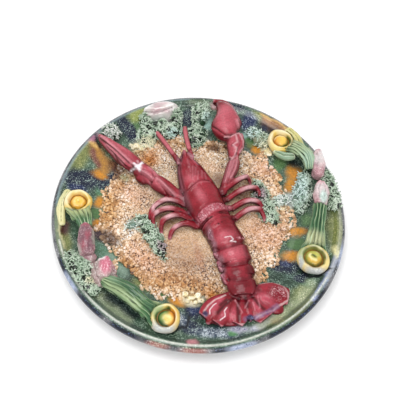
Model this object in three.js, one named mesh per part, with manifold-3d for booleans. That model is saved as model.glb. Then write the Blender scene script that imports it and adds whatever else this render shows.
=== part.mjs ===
// Earthenware wall plate with a lobster, sand, moss, a shell and seaweed pods in high relief.
// Millimetres, +Z up. Origin on the table under the middle of the dish; +Y is the top of the plate.

import * as THREE from 'three';
import { mergeVertices } from 'three/addons/utils/BufferGeometryUtils.js';
import Module from 'manifold-3d';

const wasm = await Module();
wasm.setup();

// ---- Driving sizes ---------------------------------------------------------------------------

const GAP = 0.35;             // play between two solids
const REST_GAP = 2.5 * GAP;   // play under a relief piece that lies on the dish or the sand

const DISH = {
  radius: 152.4,
  lip: 25,                    // height of the rolled lip above the table
  crest: 145,                 // radius at the top of the lip
  floor: 12.5,                // height of the inside of the well
  wellRadius: 90,
  shoulder: [104, 15.5],      // radius and height where the well wall meets the rim
  rim: [[125, 19], [140, 21.8]],
  underFloor: 4.5,
  footOuter: 75,
  footInner: 68,
  segments: 44,
};

const SAND = {
  centre: [-5, 4.5],
  radius: 97,
  thickness: 4.2,
  lobes: [[3, 2.2, 0.6], [7, 1.2, 2.1]],   // waves round its edge: count, size, shift
  around: 28,
  across: 6,
};

// Inside of the dish from the middle out to the top of its lip, as radius and height.
const INSIDE = [
  [0, DISH.floor],
  [DISH.wellRadius, DISH.floor],
  DISH.shoulder,
  ...DISH.rim,
  [DISH.crest, DISH.lip],
];

// Lofted pieces are lists of stations: x, y, z, half width, half height.
const CARAPACE = [
  [-23, 66, 31, 1.5, 1.5], [-21.5, 60, 29.5, 6.5, 4.5], [-19, 54, 28, 11, 7.5], [-14.5, 46, 26, 15, 10],
  [-10, 37, 25, 17.5, 12], [-5.5, 28, 24, 19.5, 13.5], [-0.5, 19, 23.5, 20.5, 14.5], [4, 9, 23.5, 20.5, 15],
  [10, -1, 23.5, 20, 15], [15.5, -8.5, 23.5, 18.5, 14],
];
const ABDOMEN = [
  [[16.5, -10, 23, 17.5, 13], [19, -13, 23, 18, 13.5], [21.5, -16.5, 23, 17.5, 13.2]],
  [[22, -17.5, 23, 17, 12.6], [28, -27, 23, 17.6, 13], [33, -35.5, 23, 17.4, 12.8]],
  [[33.6, -36.5, 23, 16.4, 12], [38, -46, 23, 16.8, 12.4], [41.4, -56, 23, 16.4, 12]],
  [[41.8, -57, 22.5, 15.4, 11.4], [44.5, -64, 22.3, 15.6, 11.6], [46.6, -70.5, 22, 15.2, 11.2]],
  [[46.9, -71.5, 22, 14.4, 10.6], [49, -81, 21.8, 14.2, 9.8], [50.5, -90, 21.6, 13, 8.4]],
];
const FLUKES = {
  telson: [
    [50.5, -92, 21, 6, 4.5], [49.5, -102, 22.5, 9.5, 5], [47, -112, 23.5, 10.5, 4.5], [45, -120, 24, 7, 3],
  ],
  left_inner_fluke: [
    [45, -92, 21, 5, 4], [38, -102, 22.5, 9, 4.5], [31, -112, 23.5, 10.5, 4.5], [26, -121, 24, 7, 3],
  ],
  left_outer_fluke: [
    [40, -91, 21, 5, 4], [28, -99, 22, 9, 4.5], [20, -108, 23, 10.5, 4], [14, -116, 23.5, 6.5, 3],
  ],
  right_outer_fluke: [
    [58, -87, 21, 6, 4], [70, -85.5, 22, 12.5, 4.5], [82, -85, 23, 13.5, 4], [95, -86, 23, 8, 3],
  ],
  right_inner_fluke: [
    [55, -91, 21, 5, 4], [62, -98, 22, 10, 4.5], [69, -104, 23, 13, 4], [75, -110, 23.5, 9, 3],
  ],
};
const LEFT_ARM = {
  left_merus: [
    [-17, 10.5, 24, 5, 5], [-28, 17, 25, 7.5, 6.5], [-42, 25, 26.5, 9.5, 8], [-50, 29.5, 27, 8.5, 7.5],
  ],
  left_wrist: [[-51, 30.5, 27, 7.5, 6.5], [-60, 36, 28, 10, 8.5], [-69, 42, 29, 9, 8]],
  left_claw: [
    [-70.5, 43, 29, 8.5, 7.5], [-79, 49.5, 29, 11, 9], [-89, 58, 29.5, 8.5, 8], [-99, 66, 29.5, 6, 6.5],
    [-109, 73.5, 29.5, 4, 5], [-117, 79.5, 28.5, 2, 2.5],
  ],
  left_finger: [
    [-86, 50, 26, 5.5, 5], [-96, 58, 27, 5, 4.5], [-107, 68, 27, 3.6, 3.6], [-116, 76, 27, 1.8, 2],
  ],
};
const RIGHT_ARM = {
  right_merus: [
    [22, 26, 24, 4, 4], [25, 36, 26, 5.5, 5.5], [28, 48, 27, 6.8, 6.5], [31, 58, 28, 7.8, 7.2],
    [32, 64, 29, 6.5, 6.5],
  ],
  right_wrist: [[30, 66, 29.5, 5, 5.5], [31, 78, 31, 9, 8], [32, 88, 32, 10.5, 9], [31, 95, 32, 8.5, 8]],
  right_claw: [
    [28, 93, 31, 8, 7], [22, 98, 31, 15, 11], [20, 107, 31, 18.5, 13], [20, 118, 31, 15.5, 12.5],
    [18, 128, 30.5, 11.5, 10.5], [13, 136, 29.5, 7.5, 7.5], [8, 141, 28, 3, 3.5],
  ],
  right_finger: [
    [28, 128, 26, 3.5, 4], [22, 137, 27, 4.5, 4.5], [13, 143, 27.5, 4, 4], [3, 144, 27, 2.5, 3],
  ],
};

// Legs and antennae: root, arch, knee and foot in plan, at the shared heights below.
const LEG = { heights: [24, 28.5, 25, 18.5], halfWidth: [3.2, 3, 2.8, 1.6] };
const LEGS = {
  left_leg_1: [[-16, 6], [-34, 9], [-50, -4], [-49, -18]],
  left_leg_2: [[-12, -6], [-31, -2], [-47.5, -11], [-44, -24]],
  left_leg_3: [[-7, -12], [-22, -9], [-37, -16], [-37, -28]],
  left_leg_4: [[-2, -18], [-13, -18], [-25, -24], [-28, -33]],
  right_leg_1: [[21, 26], [34, 38], [47, 48], [52, 42]],
  right_leg_2: [[27, 17], [43, 30], [58, 35], [63, 27]],
  right_leg_3: [[33, 7], [49, 17], [62, 17], [67, 9]],
  right_leg_4: [[37, -5], [50, 6], [63, 9], [69, 0]],
};
const ANTENNA = { heights: [33, 32, 29, 24], halfWidth: [2.2, 2.4, 2.4, 2.2] };
const ANTENNAE = {
  left_antenna: [[-26, 50], [-32, 59], [-41, 73], [-56, 95]],
  right_antenna: [[-15, 64], [-18, 72], [-22, 86], [-26, 106]],
};

// Seaweed ornaments along the rim: cup discs, ribbed stalks, buds and leaves.
const DISC = {
  base: 19.5,
  profile: [                  // radius and height above the base
    [0, 0], [11, 0], [14.6, 4], [15.5, 8.5], [13.8, 12.6],
    [11.4, 12.6], [10.2, 9], [8.8, 9], [7.4, 12], [0, 13.6],
  ],
  segments: 14,
};
// Each disc's place in plan and its size beside the profile above.
const DISCS = {
  left_upper_disc: [-125.5, -6.5, 1],
  left_lower_disc: [-23, -123, 1],
  right_upper_disc: [81, 97.5, 1],
  right_lower_disc: [118.5, -44.5, 1.1],
};
const RIBS = { count: 8, depth: 0.08, sides: 16 };
const STALKS = {
  left_upper_stalk: [
    [-121, -20, 31, 12, 5], [-116, -27, 33, 10, 5], [-113, -33, 32, 7, 4.5],
  ],
  left_lower_stalk: [
    [-79, -95, 32, 12, 5.5], [-61, -103, 35, 10.5, 5.5], [-47, -113, 34, 9.5, 5], [-38, -119, 31, 10, 5],
  ],
  right_upper_stalk: [
    [92, 90, 32, 8, 5], [102, 82, 36, 8.5, 5], [110, 73, 36, 8, 5], [113, 62, 33, 6, 4.5],
  ],
  right_lower_stalk: [
    [123.5, 15, 33, 8.5, 5.5], [122.5, 2, 36, 8, 5], [121, -12, 35.5, 8.8, 5], [119.5, -27, 31, 12, 5],
  ],
};
const BUDS = {
  left_long_bud: [
    [-112.5, -34, 33, 5, 4], [-111, -43, 32, 8.5, 7], [-109, -54, 31, 9.5, 8], [-106, -66, 30, 6.5, 6],
  ],
  left_calyx: [
    [-91, -70, 28, 8, 6], [-88, -79, 28, 13.5, 7], [-86, -90, 28, 12, 6], [-85, -96, 27, 7, 4],
  ],
  left_cone_bud: [
    [-85.5, -69, 38, 1.5, 1.5], [-86, -76, 37, 7, 5], [-86.5, -85, 36, 8.5, 5], [-86.5, -90, 35, 5, 3],
  ],
  right_upper_bud: [
    [121, 86, 34, 3.5, 4], [121.5, 76, 34, 7.5, 7], [122, 64, 33, 7.5, 7], [123, 54, 32, 5, 5],
  ],
  right_lower_bud: [
    [125, 46, 33, 4, 4], [125, 36, 33.5, 8.5, 7.5], [125, 26, 33, 9, 8], [124, 17.5, 32, 6, 6],
  ],
};
const LEAVES = {
  left_leaf: [
    [-138, 8, 25, 4, 3], [-142, -6, 26, 4.5, 3.5], [-142, -18, 26.5, 4.5, 3], [-137, -33, 25, 3, 2.5],
  ],
  right_leaf: [
    [88, 115, 27, 4, 3.5], [96, 107, 28.5, 5, 3.5], [101, 98, 29.5, 4.5, 3.5], [104, 88, 30, 4, 3],
  ],
  folded_leaf: [
    [74, 83, 27, 2, 2], [81, 79, 28, 4.5, 3.5], [89, 76, 29, 5.5, 4], [96, 78, 30, 4, 3.5],
  ],
};

// Mounds that lie on the ground: x, y, half length, half width, turn in degrees, height.
const SHELL = [-54, 122, 20, 13, 22, 15];
const MOSS = {
  claw_tip_moss: [-105, 89, 9, 7, -20, 6],
  back_left_moss: [-65, 96, 20, 12, 80, 6],
  shell_moss: [-44, 103, 16, 9, 5, 8],
  antenna_moss: [-13, 99, 14, 12, 60, 7],
  back_moss: [-10, 126, 17, 9, 80, 8],
  right_back_moss: [58, 104, 16, 8, -35, 6],
  right_inner_moss: [67, 22, 30, 9, -66, 6],
  right_bud_moss: [107, 38, 25, 9, 85, 9],
  right_rim_moss: [136, 40, 26, 6.5, 105, 8],
  left_inner_moss: [-46, -31, 30, 8, -55, 6],
  left_rim_moss: [-107, -83, 29, 11, -50, 9],
};
const MOUND = { around: 11, up: 5, squareness: 2.7, lumps: [[3, 0.08], [5, 0.06]] };

const SIDES = { body: 14, arm: 8, leg: 6, fluke: 9 };
const STEPS = { body: 1, arm: 1, leg: 2, fluke: 1, stalk: 2 };

// ---- Finishes --------------------------------------------------------------------------------

const FINISH = {
  dish: { color: 0x4d6350, roughness: 0.15 },
  sand: { color: 0xc79f78, roughness: 0.6 },
  lobster: { color: 0x93263a, roughness: 0.15 },
  moss: { color: 0xaab7a3, roughness: 0.45 },
  disc: { color: 0xe3bd4a, roughness: 0.15 },
  stalk: { color: 0x86a173, roughness: 0.18 },
  bud: { color: 0xc8949f, roughness: 0.2 },
  leaf: { color: 0xd6d08a, roughness: 0.18 },
  shell: { color: 0xddcdcb, roughness: 0.2 },
};

// ---- Ground the relief lies on ---------------------------------------------------------------

/** Height of the dish's inside at a distance from its middle. */
function dishHeight(radius) {
  for (let i = 1; i < INSIDE.length; i += 1) {
    const [r0, z0] = INSIDE[i - 1];
    const [r1, z1] = INSIDE[i];
    if (radius <= r1) return z0 + ((z1 - z0) * (radius - r0)) / (r1 - r0);
  }
  return DISH.lip;
}

/** Radius of the uneven edge of the sand in one direction. */
function sandRadius(angle) {
  const wave = ([count, size, shift]) => size * Math.sin(count * angle + shift);
  return SAND.lobes.reduce((sum, lobe) => sum + wave(lobe), SAND.radius);
}

/** Height of the sand above the dish, nothing beyond its edge. */
function sandThickness(x, y) {
  const dx = x - SAND.centre[0];
  const dy = y - SAND.centre[1];
  const share = Math.hypot(dx, dy) / sandRadius(Math.atan2(dy, dx));
  return share < 1 ? SAND.thickness * (1 - share ** 4) : 0;
}

/** Height of the ground, sand or glaze, at a place in plan. */
function groundHeight(x, y) {
  return dishHeight(Math.hypot(x, y)) + sandThickness(x, y);
}

// ---- Shapes ----------------------------------------------------------------------------------

/** Leaves only positions, with shared vertices merged. */
function bare(geometry) {
  geometry.deleteAttribute('normal');
  geometry.deleteAttribute('uv');
  return mergeVertices(geometry, 1e-4);
}

/** Moves every vertex of a closed geometry by a function of its position. */
function bend(geometry, move) {
  const merged = bare(geometry);
  const position = merged.attributes.position;
  const point = new THREE.Vector3();
  for (let i = 0; i < position.count; i += 1) {
    point.fromBufferAttribute(position, i);
    move(point);
    position.setXYZ(i, point.x, point.y, point.z);
  }
  return merged;
}

/** Lifts whatever would sink into the ground until it just lies on it. */
function rest(point) {
  point.z = Math.max(point.z, groundHeight(point.x, point.y) + REST_GAP);
}

/** A closed body lofted through stations; section gives a factor on its radius at an angle. */
function lofted(stations, sides, stepsPerSpan, section = () => 1) {
  const spans = stations.length - 1;
  const route = new THREE.CatmullRomCurve3(stations.map(([x, y, z]) => new THREE.Vector3(x, y, z)));
  const up = new THREE.Vector3(0, 0, 1);
  return bend(new THREE.CylinderGeometry(1, 1, 1, sides, spans * stepsPerSpan), (point) => {
    const t = point.y + 0.5;
    const from = Math.min(Math.floor(t * spans), spans - 1);
    const share = t * spans - from;
    const halfWidth = THREE.MathUtils.lerp(stations[from][3], stations[from + 1][3], share);
    const halfHeight = THREE.MathUtils.lerp(stations[from][4], stations[from + 1][4], share);
    const factor = section(Math.atan2(point.z, point.x));
    const right = route.getTangent(t).cross(up).normalize();
    const across = point.x * halfWidth * factor;
    const above = point.z * halfHeight * factor;
    point.copy(route.getPoint(t)).addScaledVector(right, across).addScaledVector(up, above);
    rest(point);
  });
}

/** Stations of a leg or an antenna from its plan points and the shared heights. */
function limb(plan, { heights, halfWidth }) {
  return plan.map(([x, y], i) => [x, y, heights[i], halfWidth[i], halfWidth[i]]);
}

/** A dome on the ground with an uneven outline. */
function mound([x, y, halfLength, halfWidth, turn, height], outline) {
  const heading = THREE.MathUtils.degToRad(turn);
  return bend(new THREE.SphereGeometry(1, MOUND.around, MOUND.up).rotateX(Math.PI / 2), (point) => {
    const angle = Math.atan2(point.y, point.x);
    const spread = outline(angle);
    const rise = Math.max(point.z, 0) * height;
    const along = point.x * halfLength * spread;
    const across = point.y * halfWidth * spread;
    point.x = x + along * Math.cos(heading) - across * Math.sin(heading);
    point.y = y + along * Math.sin(heading) + across * Math.cos(heading);
    point.z = groundHeight(point.x, point.y) + REST_GAP + rise;
  });
}

/** Outline factor of a moss clump: a rounded oblong with two slow waves, shifted for each clump. */
function mossOutline(shift) {
  return (angle) => {
    const n = MOUND.squareness;
    const oblong = (Math.abs(Math.cos(angle)) ** n + Math.abs(Math.sin(angle)) ** n) ** (-1 / n);
    return MOUND.lumps.reduce((sum, [count, size]) => sum + size * Math.sin(count * angle + shift), oblong);
  };
}

/** The turned dish: well, rim, rolled lip, outer edge and foot ring. */
function dishGeometry() {
  const { radius, lip, underFloor, footOuter, footInner, segments } = DISH;
  const outside = [
    [radius - 3.2, lip - 0.6],
    [radius - 0.8, lip - 2.2],
    [radius, lip - 4],
    [radius - 1.2, lip - 6.6],
    [radius - 8, lip - 8.4],
    [radius - 44.4, 9.6],
    [footOuter + 4, underFloor],
    [footOuter, 0],
    [footInner, 0],
    [footInner - 2, underFloor],
    [0, underFloor],
  ];
  const profile = [...INSIDE, ...outside].reverse().map(([r, z]) => new THREE.Vector2(r, z));
  return bare(new THREE.LatheGeometry(profile, segments).rotateX(Math.PI / 2));
}

/** The sand bed: a thin cake that follows the well. */
function sandGeometry() {
  return bend(new THREE.SphereGeometry(1, SAND.around, SAND.across).rotateX(Math.PI / 2), (point) => {
    const angle = Math.atan2(point.y, point.x);
    const reach = sandRadius(angle);
    const top = point.z > 1e-6;
    point.x = SAND.centre[0] + point.x * reach;
    point.y = SAND.centre[1] + point.y * reach;
    point.z = dishHeight(Math.hypot(point.x, point.y)) + REST_GAP;
    if (top) point.z += sandThickness(point.x, point.y) - GAP;
  });
}

/** A cup disc with its inner button, standing on the rim. */
function discGeometry([x, y, size]) {
  const profile = DISC.profile.map(([r, z]) => new THREE.Vector2(r * size, z * size));
  return bend(new THREE.LatheGeometry(profile, DISC.segments).rotateX(Math.PI / 2), (point) => {
    point.add(new THREE.Vector3(x, y, DISC.base));
    rest(point);
  });
}

/** Section of a ribbed stalk. */
function ribbed(angle) {
  return 1 + RIBS.depth * Math.cos(RIBS.count * angle);
}

// ---- Fitting one solid beside the others -----------------------------------------------------

/** A manifold solid from a closed geometry. */
function solidOf(geometry) {
  const mesh = new wasm.Mesh({
    numProp: 3,
    vertProperties: Float32Array.from(geometry.attributes.position.array),
    triVerts: Uint32Array.from(geometry.index.array),
  });
  return new wasm.Manifold(mesh);
}

/** The geometry of a manifold solid. */
function geometryOf(solid) {
  const { vertProperties, triVerts } = solid.getMesh();
  const geometry = new THREE.BufferGeometry();
  geometry.setAttribute('position', new THREE.BufferAttribute(Float32Array.from(vertProperties), 3));
  geometry.setIndex(new THREE.BufferAttribute(Uint32Array.from(triVerts), 1));
  return geometry;
}

/** A copy pushed out along its vertex normals by the play between solids. */
function grown(geometry) {
  const copy = geometry.clone();
  copy.computeVertexNormals();
  const { position, normal } = copy.attributes;
  for (let i = 0; i < position.count; i += 1) {
    position.setXYZ(
      i,
      position.getX(i) + normal.getX(i) * GAP,
      position.getY(i) + normal.getY(i) * GAP,
      position.getZ(i) + normal.getZ(i) * GAP,
    );
  }
  copy.deleteAttribute('normal');
  return copy;
}

/** True when two bounding boxes meet. */
function boxesMeet(a, b) {
  a.computeBoundingBox();
  b.computeBoundingBox();
  return a.boundingBox.intersectsBox(b.boundingBox);
}

/** The largest separate body of a solid. */
function largestBody(solid) {
  return solid.decompose().reduce((best, body) => (body.volume() > best.volume() ? body : best));
}

const plate = new THREE.Group();
const placed = [];

/** Adds a piece, cut clear of every piece placed before it. */
function add(name, geometry, finish) {
  const neighbours = placed.filter((other) => boxesMeet(geometry, other.clearance));
  let fitted = geometry;
  if (neighbours.length > 0) {
    const cutBy = (solid, other) => solid.subtract(solidOf(other.clearance));
    fitted = geometryOf(largestBody(neighbours.reduce(cutBy, solidOf(geometry))));
  }
  const mesh = new THREE.Mesh(fitted, new THREE.MeshStandardMaterial({ ...finish, metalness: 0 }));
  mesh.name = name;
  plate.add(mesh);
  placed.push({ clearance: grown(fitted) });
}

/** Adds each entry of a table of pieces with one way of making its shape. */
function addEach(table, shape, finish) {
  Object.entries(table).forEach(([name, sizes], index) => add(name, shape(sizes, index), finish));
}

// ---- The plate -------------------------------------------------------------------------------

add('dish', dishGeometry(), FINISH.dish);
add('sand_bed', sandGeometry(), FINISH.sand);
add('carapace', lofted(CARAPACE, SIDES.body, STEPS.body), FINISH.lobster);
ABDOMEN.forEach((stations, index) => {
  add(`abdomen_${index + 1}`, lofted(stations, SIDES.body, STEPS.body), FINISH.lobster);
});
addEach(FLUKES, (stations) => lofted(stations, SIDES.fluke, STEPS.fluke), FINISH.lobster);
addEach(LEFT_ARM, (stations) => lofted(stations, SIDES.arm, STEPS.arm), FINISH.lobster);
addEach(RIGHT_ARM, (stations) => lofted(stations, SIDES.arm, STEPS.arm), FINISH.lobster);
addEach(LEGS, (plan) => lofted(limb(plan, LEG), SIDES.leg, STEPS.leg), FINISH.lobster);
addEach(ANTENNAE, (plan) => lofted(limb(plan, ANTENNA), SIDES.leg, STEPS.leg), FINISH.lobster);
addEach(DISCS, discGeometry, FINISH.disc);
addEach(BUDS, (stations) => lofted(stations, SIDES.arm, STEPS.arm), FINISH.bud);
addEach(STALKS, (stations) => lofted(stations, RIBS.sides, STEPS.stalk, ribbed), FINISH.stalk);
addEach(LEAVES, (stations) => lofted(stations, SIDES.fluke, STEPS.fluke), FINISH.leaf);
add('shell', mound(SHELL, mossOutline(0)), FINISH.shell);
addEach(MOSS, (sizes, index) => mound(sizes, mossOutline(index)), FINISH.moss);

export default plate;
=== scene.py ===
"""Looks of an earthenware wall plate that carries a lobster in high relief.

The relief is pressed and modelled clay under coloured lead glazes: a crimson lobster on a bed of
gritty sand, sieved moss, a shell and seaweed sprigs with cup discs, stalks and buds round the rim.
Sizes in the classes are millimetres, and become metres where a mesh is made.
"""

import logging
import math
import random
from dataclasses import dataclass, field, replace
from enum import Enum
from itertools import product
from typing import Iterable, Sequence

import bmesh
import bpy
import numpy as np
from bmesh.types import BMEdge, BMesh, BMVert
from bpy.types import Material, Mesh, Node, NodeSocket, NodeTree, Object, bpy_prop_collection
from mathutils import Euler, Matrix, Vector, noise
from mathutils.bvhtree import BVHTree


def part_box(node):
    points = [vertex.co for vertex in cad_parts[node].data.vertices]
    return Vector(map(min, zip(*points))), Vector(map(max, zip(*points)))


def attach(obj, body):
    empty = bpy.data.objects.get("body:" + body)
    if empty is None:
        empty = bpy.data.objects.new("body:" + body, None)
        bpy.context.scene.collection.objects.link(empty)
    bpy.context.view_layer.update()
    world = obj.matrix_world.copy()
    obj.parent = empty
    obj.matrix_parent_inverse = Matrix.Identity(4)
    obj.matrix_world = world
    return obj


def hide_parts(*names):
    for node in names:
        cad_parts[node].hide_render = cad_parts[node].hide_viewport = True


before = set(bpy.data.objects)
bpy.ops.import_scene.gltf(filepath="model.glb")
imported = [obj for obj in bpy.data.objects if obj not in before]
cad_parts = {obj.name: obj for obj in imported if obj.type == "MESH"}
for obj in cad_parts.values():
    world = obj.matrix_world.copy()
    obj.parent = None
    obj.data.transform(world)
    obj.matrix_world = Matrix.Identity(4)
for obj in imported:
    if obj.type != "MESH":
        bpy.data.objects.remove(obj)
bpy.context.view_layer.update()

log = logging.getLogger("plate")

Pairs = tuple[tuple[float, float], ...]
Value = NodeSocket | float | tuple[float, ...]

MM = 0.001
BODY = "root"
DOWN = Vector((0, 0, -1))
SKY = 0.2                               # a height over everything, in metres, that rays are cast down from
TOUCHING = 1e-6                         # vertices nearer than this, in metres, are one
SHARP = math.radians(48)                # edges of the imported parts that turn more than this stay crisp
FLAT = math.radians(40)                 # triangles that turn less than this against each other make a quad
SKEW = math.radians(60)                 # and the quad's corners may be this far from square
STROKE_STEP = 0.5                       # how far apart the points are that a stroke is laid along
STROKE_REACH = 2.5                      # widths of a stroke over which it still moves clay
EVENING = 0.6                           # how much of its neighbours' measure a vertex takes on in evening out
WANDERS = ((12.0, 0.7), (3.5, 0.3))     # size and share of the waves that the edges of washes wander by
DRIFT = 0.9                             # how strongly the base tones and the flecks come and go
FLECK_PATCH = 5.0                       # size of the patches where flecks lie thicker
# the painted shade on steep sides starts at the second of these upward parts and is full at the first
STEEP = (0.25, 0.9)                     # upward part of the normal where a side is steep, and starts to be
CRYSTAL = {"Scale": 0.95, "Detail": 2.5, "Distortion": 1.2}
CRYSTAL_START = (0.63, 0.37)            # noise over which there are crystals, for a share of 0 and of 1
CRYSTAL_EDGE = 0.06                     # how much more noise it takes for a crystal to cover fully
FEWEST_FLECKS = 0.08                    # share of flecks below which they pale
MOTTLE = {"Scale": 0.55, "Detail": 4.0, "Roughness": 0.65}
MOTTLE_SHADE = (0.3, 0.7, 0.35, 1.15)   # two values of the mottling's noise and the brightness at each
HASH_PRIMES = (73856093, 19349663, 83492791)
HASH_STEP = 1103515245
HASH_MASK = 0x7FFFFFFF


class Slot(Enum):
    """Names of material slots, which nothing here assigns."""

    DISH = "dish_glaze"
    SAND = "sand_grit"
    LOBSTER = "lobster_glaze"
    MOSS = "moss_glaze"
    DISC = "disc_glaze"
    STALK = "stalk_glaze"
    BUD = "bud_glaze"
    LEAF = "leaf_glaze"
    SHELL = "shell_glaze"


# ---- Finishes --------------------------------------------------------------------------------


def linear(colour: str) -> tuple[float, float, float, float]:
    """Turns an sRGB hex colour to linear light.

    Args:
        colour: six hex digits.

    Returns:
        Red, green, blue and an alpha of 1.
    """
    parts = [int(colour[i:i + 2], 16) / 255 for i in (0, 2, 4)]
    light = [p / 12.92 if p <= 0.04045 else ((p + 0.055) / 1.055) ** 2.4 for p in parts]
    return (*light, 1.0)


def add_node(tree: NodeTree, kind: str, inputs: dict | None = None, **settings: object) -> Node:
    """Adds one shader node.

    Args:
        tree: the material's node tree.
        kind: the node's type name without "ShaderNode".
        inputs: values for its sockets by name or number; a socket given as a value is linked.
        **settings: the node's own settings.

    Returns:
        The new node.
    """
    node = tree.nodes.new("ShaderNode" + kind)
    for key, value in settings.items():
        setattr(node, key, value)
    for key, value in (inputs or {}).items():
        if isinstance(value, NodeSocket):
            tree.links.new(value, node.inputs[key])
        else:
            node.inputs[key].default_value = value
    return node


def new_material(name: str) -> tuple[Material, NodeTree, NodeSocket]:
    """Starts a material.

    Args:
        name: the material's name.

    Returns:
        The material, its empty node tree and the socket of the place on the object in millimetres.
    """
    material = bpy.data.materials.new(name)
    material.use_nodes = True
    tree = material.node_tree
    tree.nodes.clear()
    spot = add_node(tree, "TexCoord").outputs["Object"]
    spot = add_node(tree, "VectorMath", {0: spot, "Scale": 1 / MM}, operation="SCALE").outputs[0]
    return material, tree, spot


def coat(tree: NodeTree, spot: NodeSocket, grain: float, height: float, look: dict) -> None:
    """Ends a material with an uneven surface.

    Args:
        tree: the material's node tree.
        spot: the socket of the place in millimetres.
        grain, height: size and height of the unevenness.
        look: the shader's other inputs.
    """
    swell = add_node(tree, "TexNoise", {"Vector": spot, "Scale": 1 / grain, "Detail": 2.0})
    bump = add_node(tree, "Bump", {"Height": swell.outputs["Fac"], "Distance": height * MM, "Strength": 1.0})
    shader = add_node(tree, "BsdfPrincipled", {**look, "Normal": bump.outputs[0]})
    add_node(tree, "OutputMaterial", {"Surface": shader.outputs[0]})


@dataclass(frozen=True)
class Touch:
    """One touch of the brush: an oval in plan.

    Attributes:
        x, y: its middle.
        length, width: half sizes along and across.
        turn: direction of its length in degrees from +X.
    """

    x: float
    y: float
    length: float
    width: float
    turn: float = 0.0

    def away(self, points: np.ndarray) -> np.ndarray:
        """How far points are from the touch.

        Args:
            points: places in millimetres.

        Returns:
            A share of the touch's size for each point: 1 on its edge.
        """
        cos, sin = math.cos(math.radians(self.turn)), math.sin(math.radians(self.turn))
        dx, dy = points[:, 0] - self.x, points[:, 1] - self.y
        return np.hypot((dx * cos + dy * sin) / self.length, (dy * cos - dx * sin) / self.width)


@dataclass(frozen=True)
class Streak:
    """One drag of the brush along a line in plan.

    Attributes:
        width: half its width.
        points: where it goes.
    """

    width: float
    points: Pairs

    def away(self, points: np.ndarray) -> np.ndarray:
        """How far points are from the streak.

        Args:
            points: places in millimetres.

        Returns:
            A share of the streak's half width for each point: 1 on its edge.
        """
        gaps = np.full(len(points), np.inf)
        corners = np.array(self.points, float)
        for start, leg in zip(corners, np.diff(corners, axis=0)):
            offset = points[:, :2] - start
            share = np.clip(offset @ leg / (leg @ leg), 0, 1)[:, None]
            gaps = np.minimum(gaps, np.linalg.norm(offset - share * leg, axis=1))
        return gaps / self.width


@dataclass(frozen=True)
class Wash:
    """One colour brushed on in touches.

    Attributes:
        colour: sRGB hex.
        touches: where it was brushed.
        soft: share of a touch's size over which it fades out.
        strength: how well it covers.
        flecks: colour of the fine crystals that break through it, if any.
        share: how much of it they take up.
        still: true if it keeps to its line and doesn't wander.
    """

    colour: str
    touches: tuple[Touch | Streak, ...]
    soft: float = 0.25
    strength: float = 1.0
    flecks: str | None = None
    share: float = 0.3
    still: bool = False

    def cover(self, points: np.ndarray) -> np.ndarray:
        """How well the wash covers points.

        Args:
            points: places in millimetres.

        Returns:
            A number from 0 to 1 for each point.
        """
        away = np.min([touch.away(points) for touch in self.touches], axis=0)
        inside = np.clip((1 + self.soft - away) / (2 * self.soft), 0, 1)
        return self.strength * inside * inside * (3 - 2 * inside)


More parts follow.
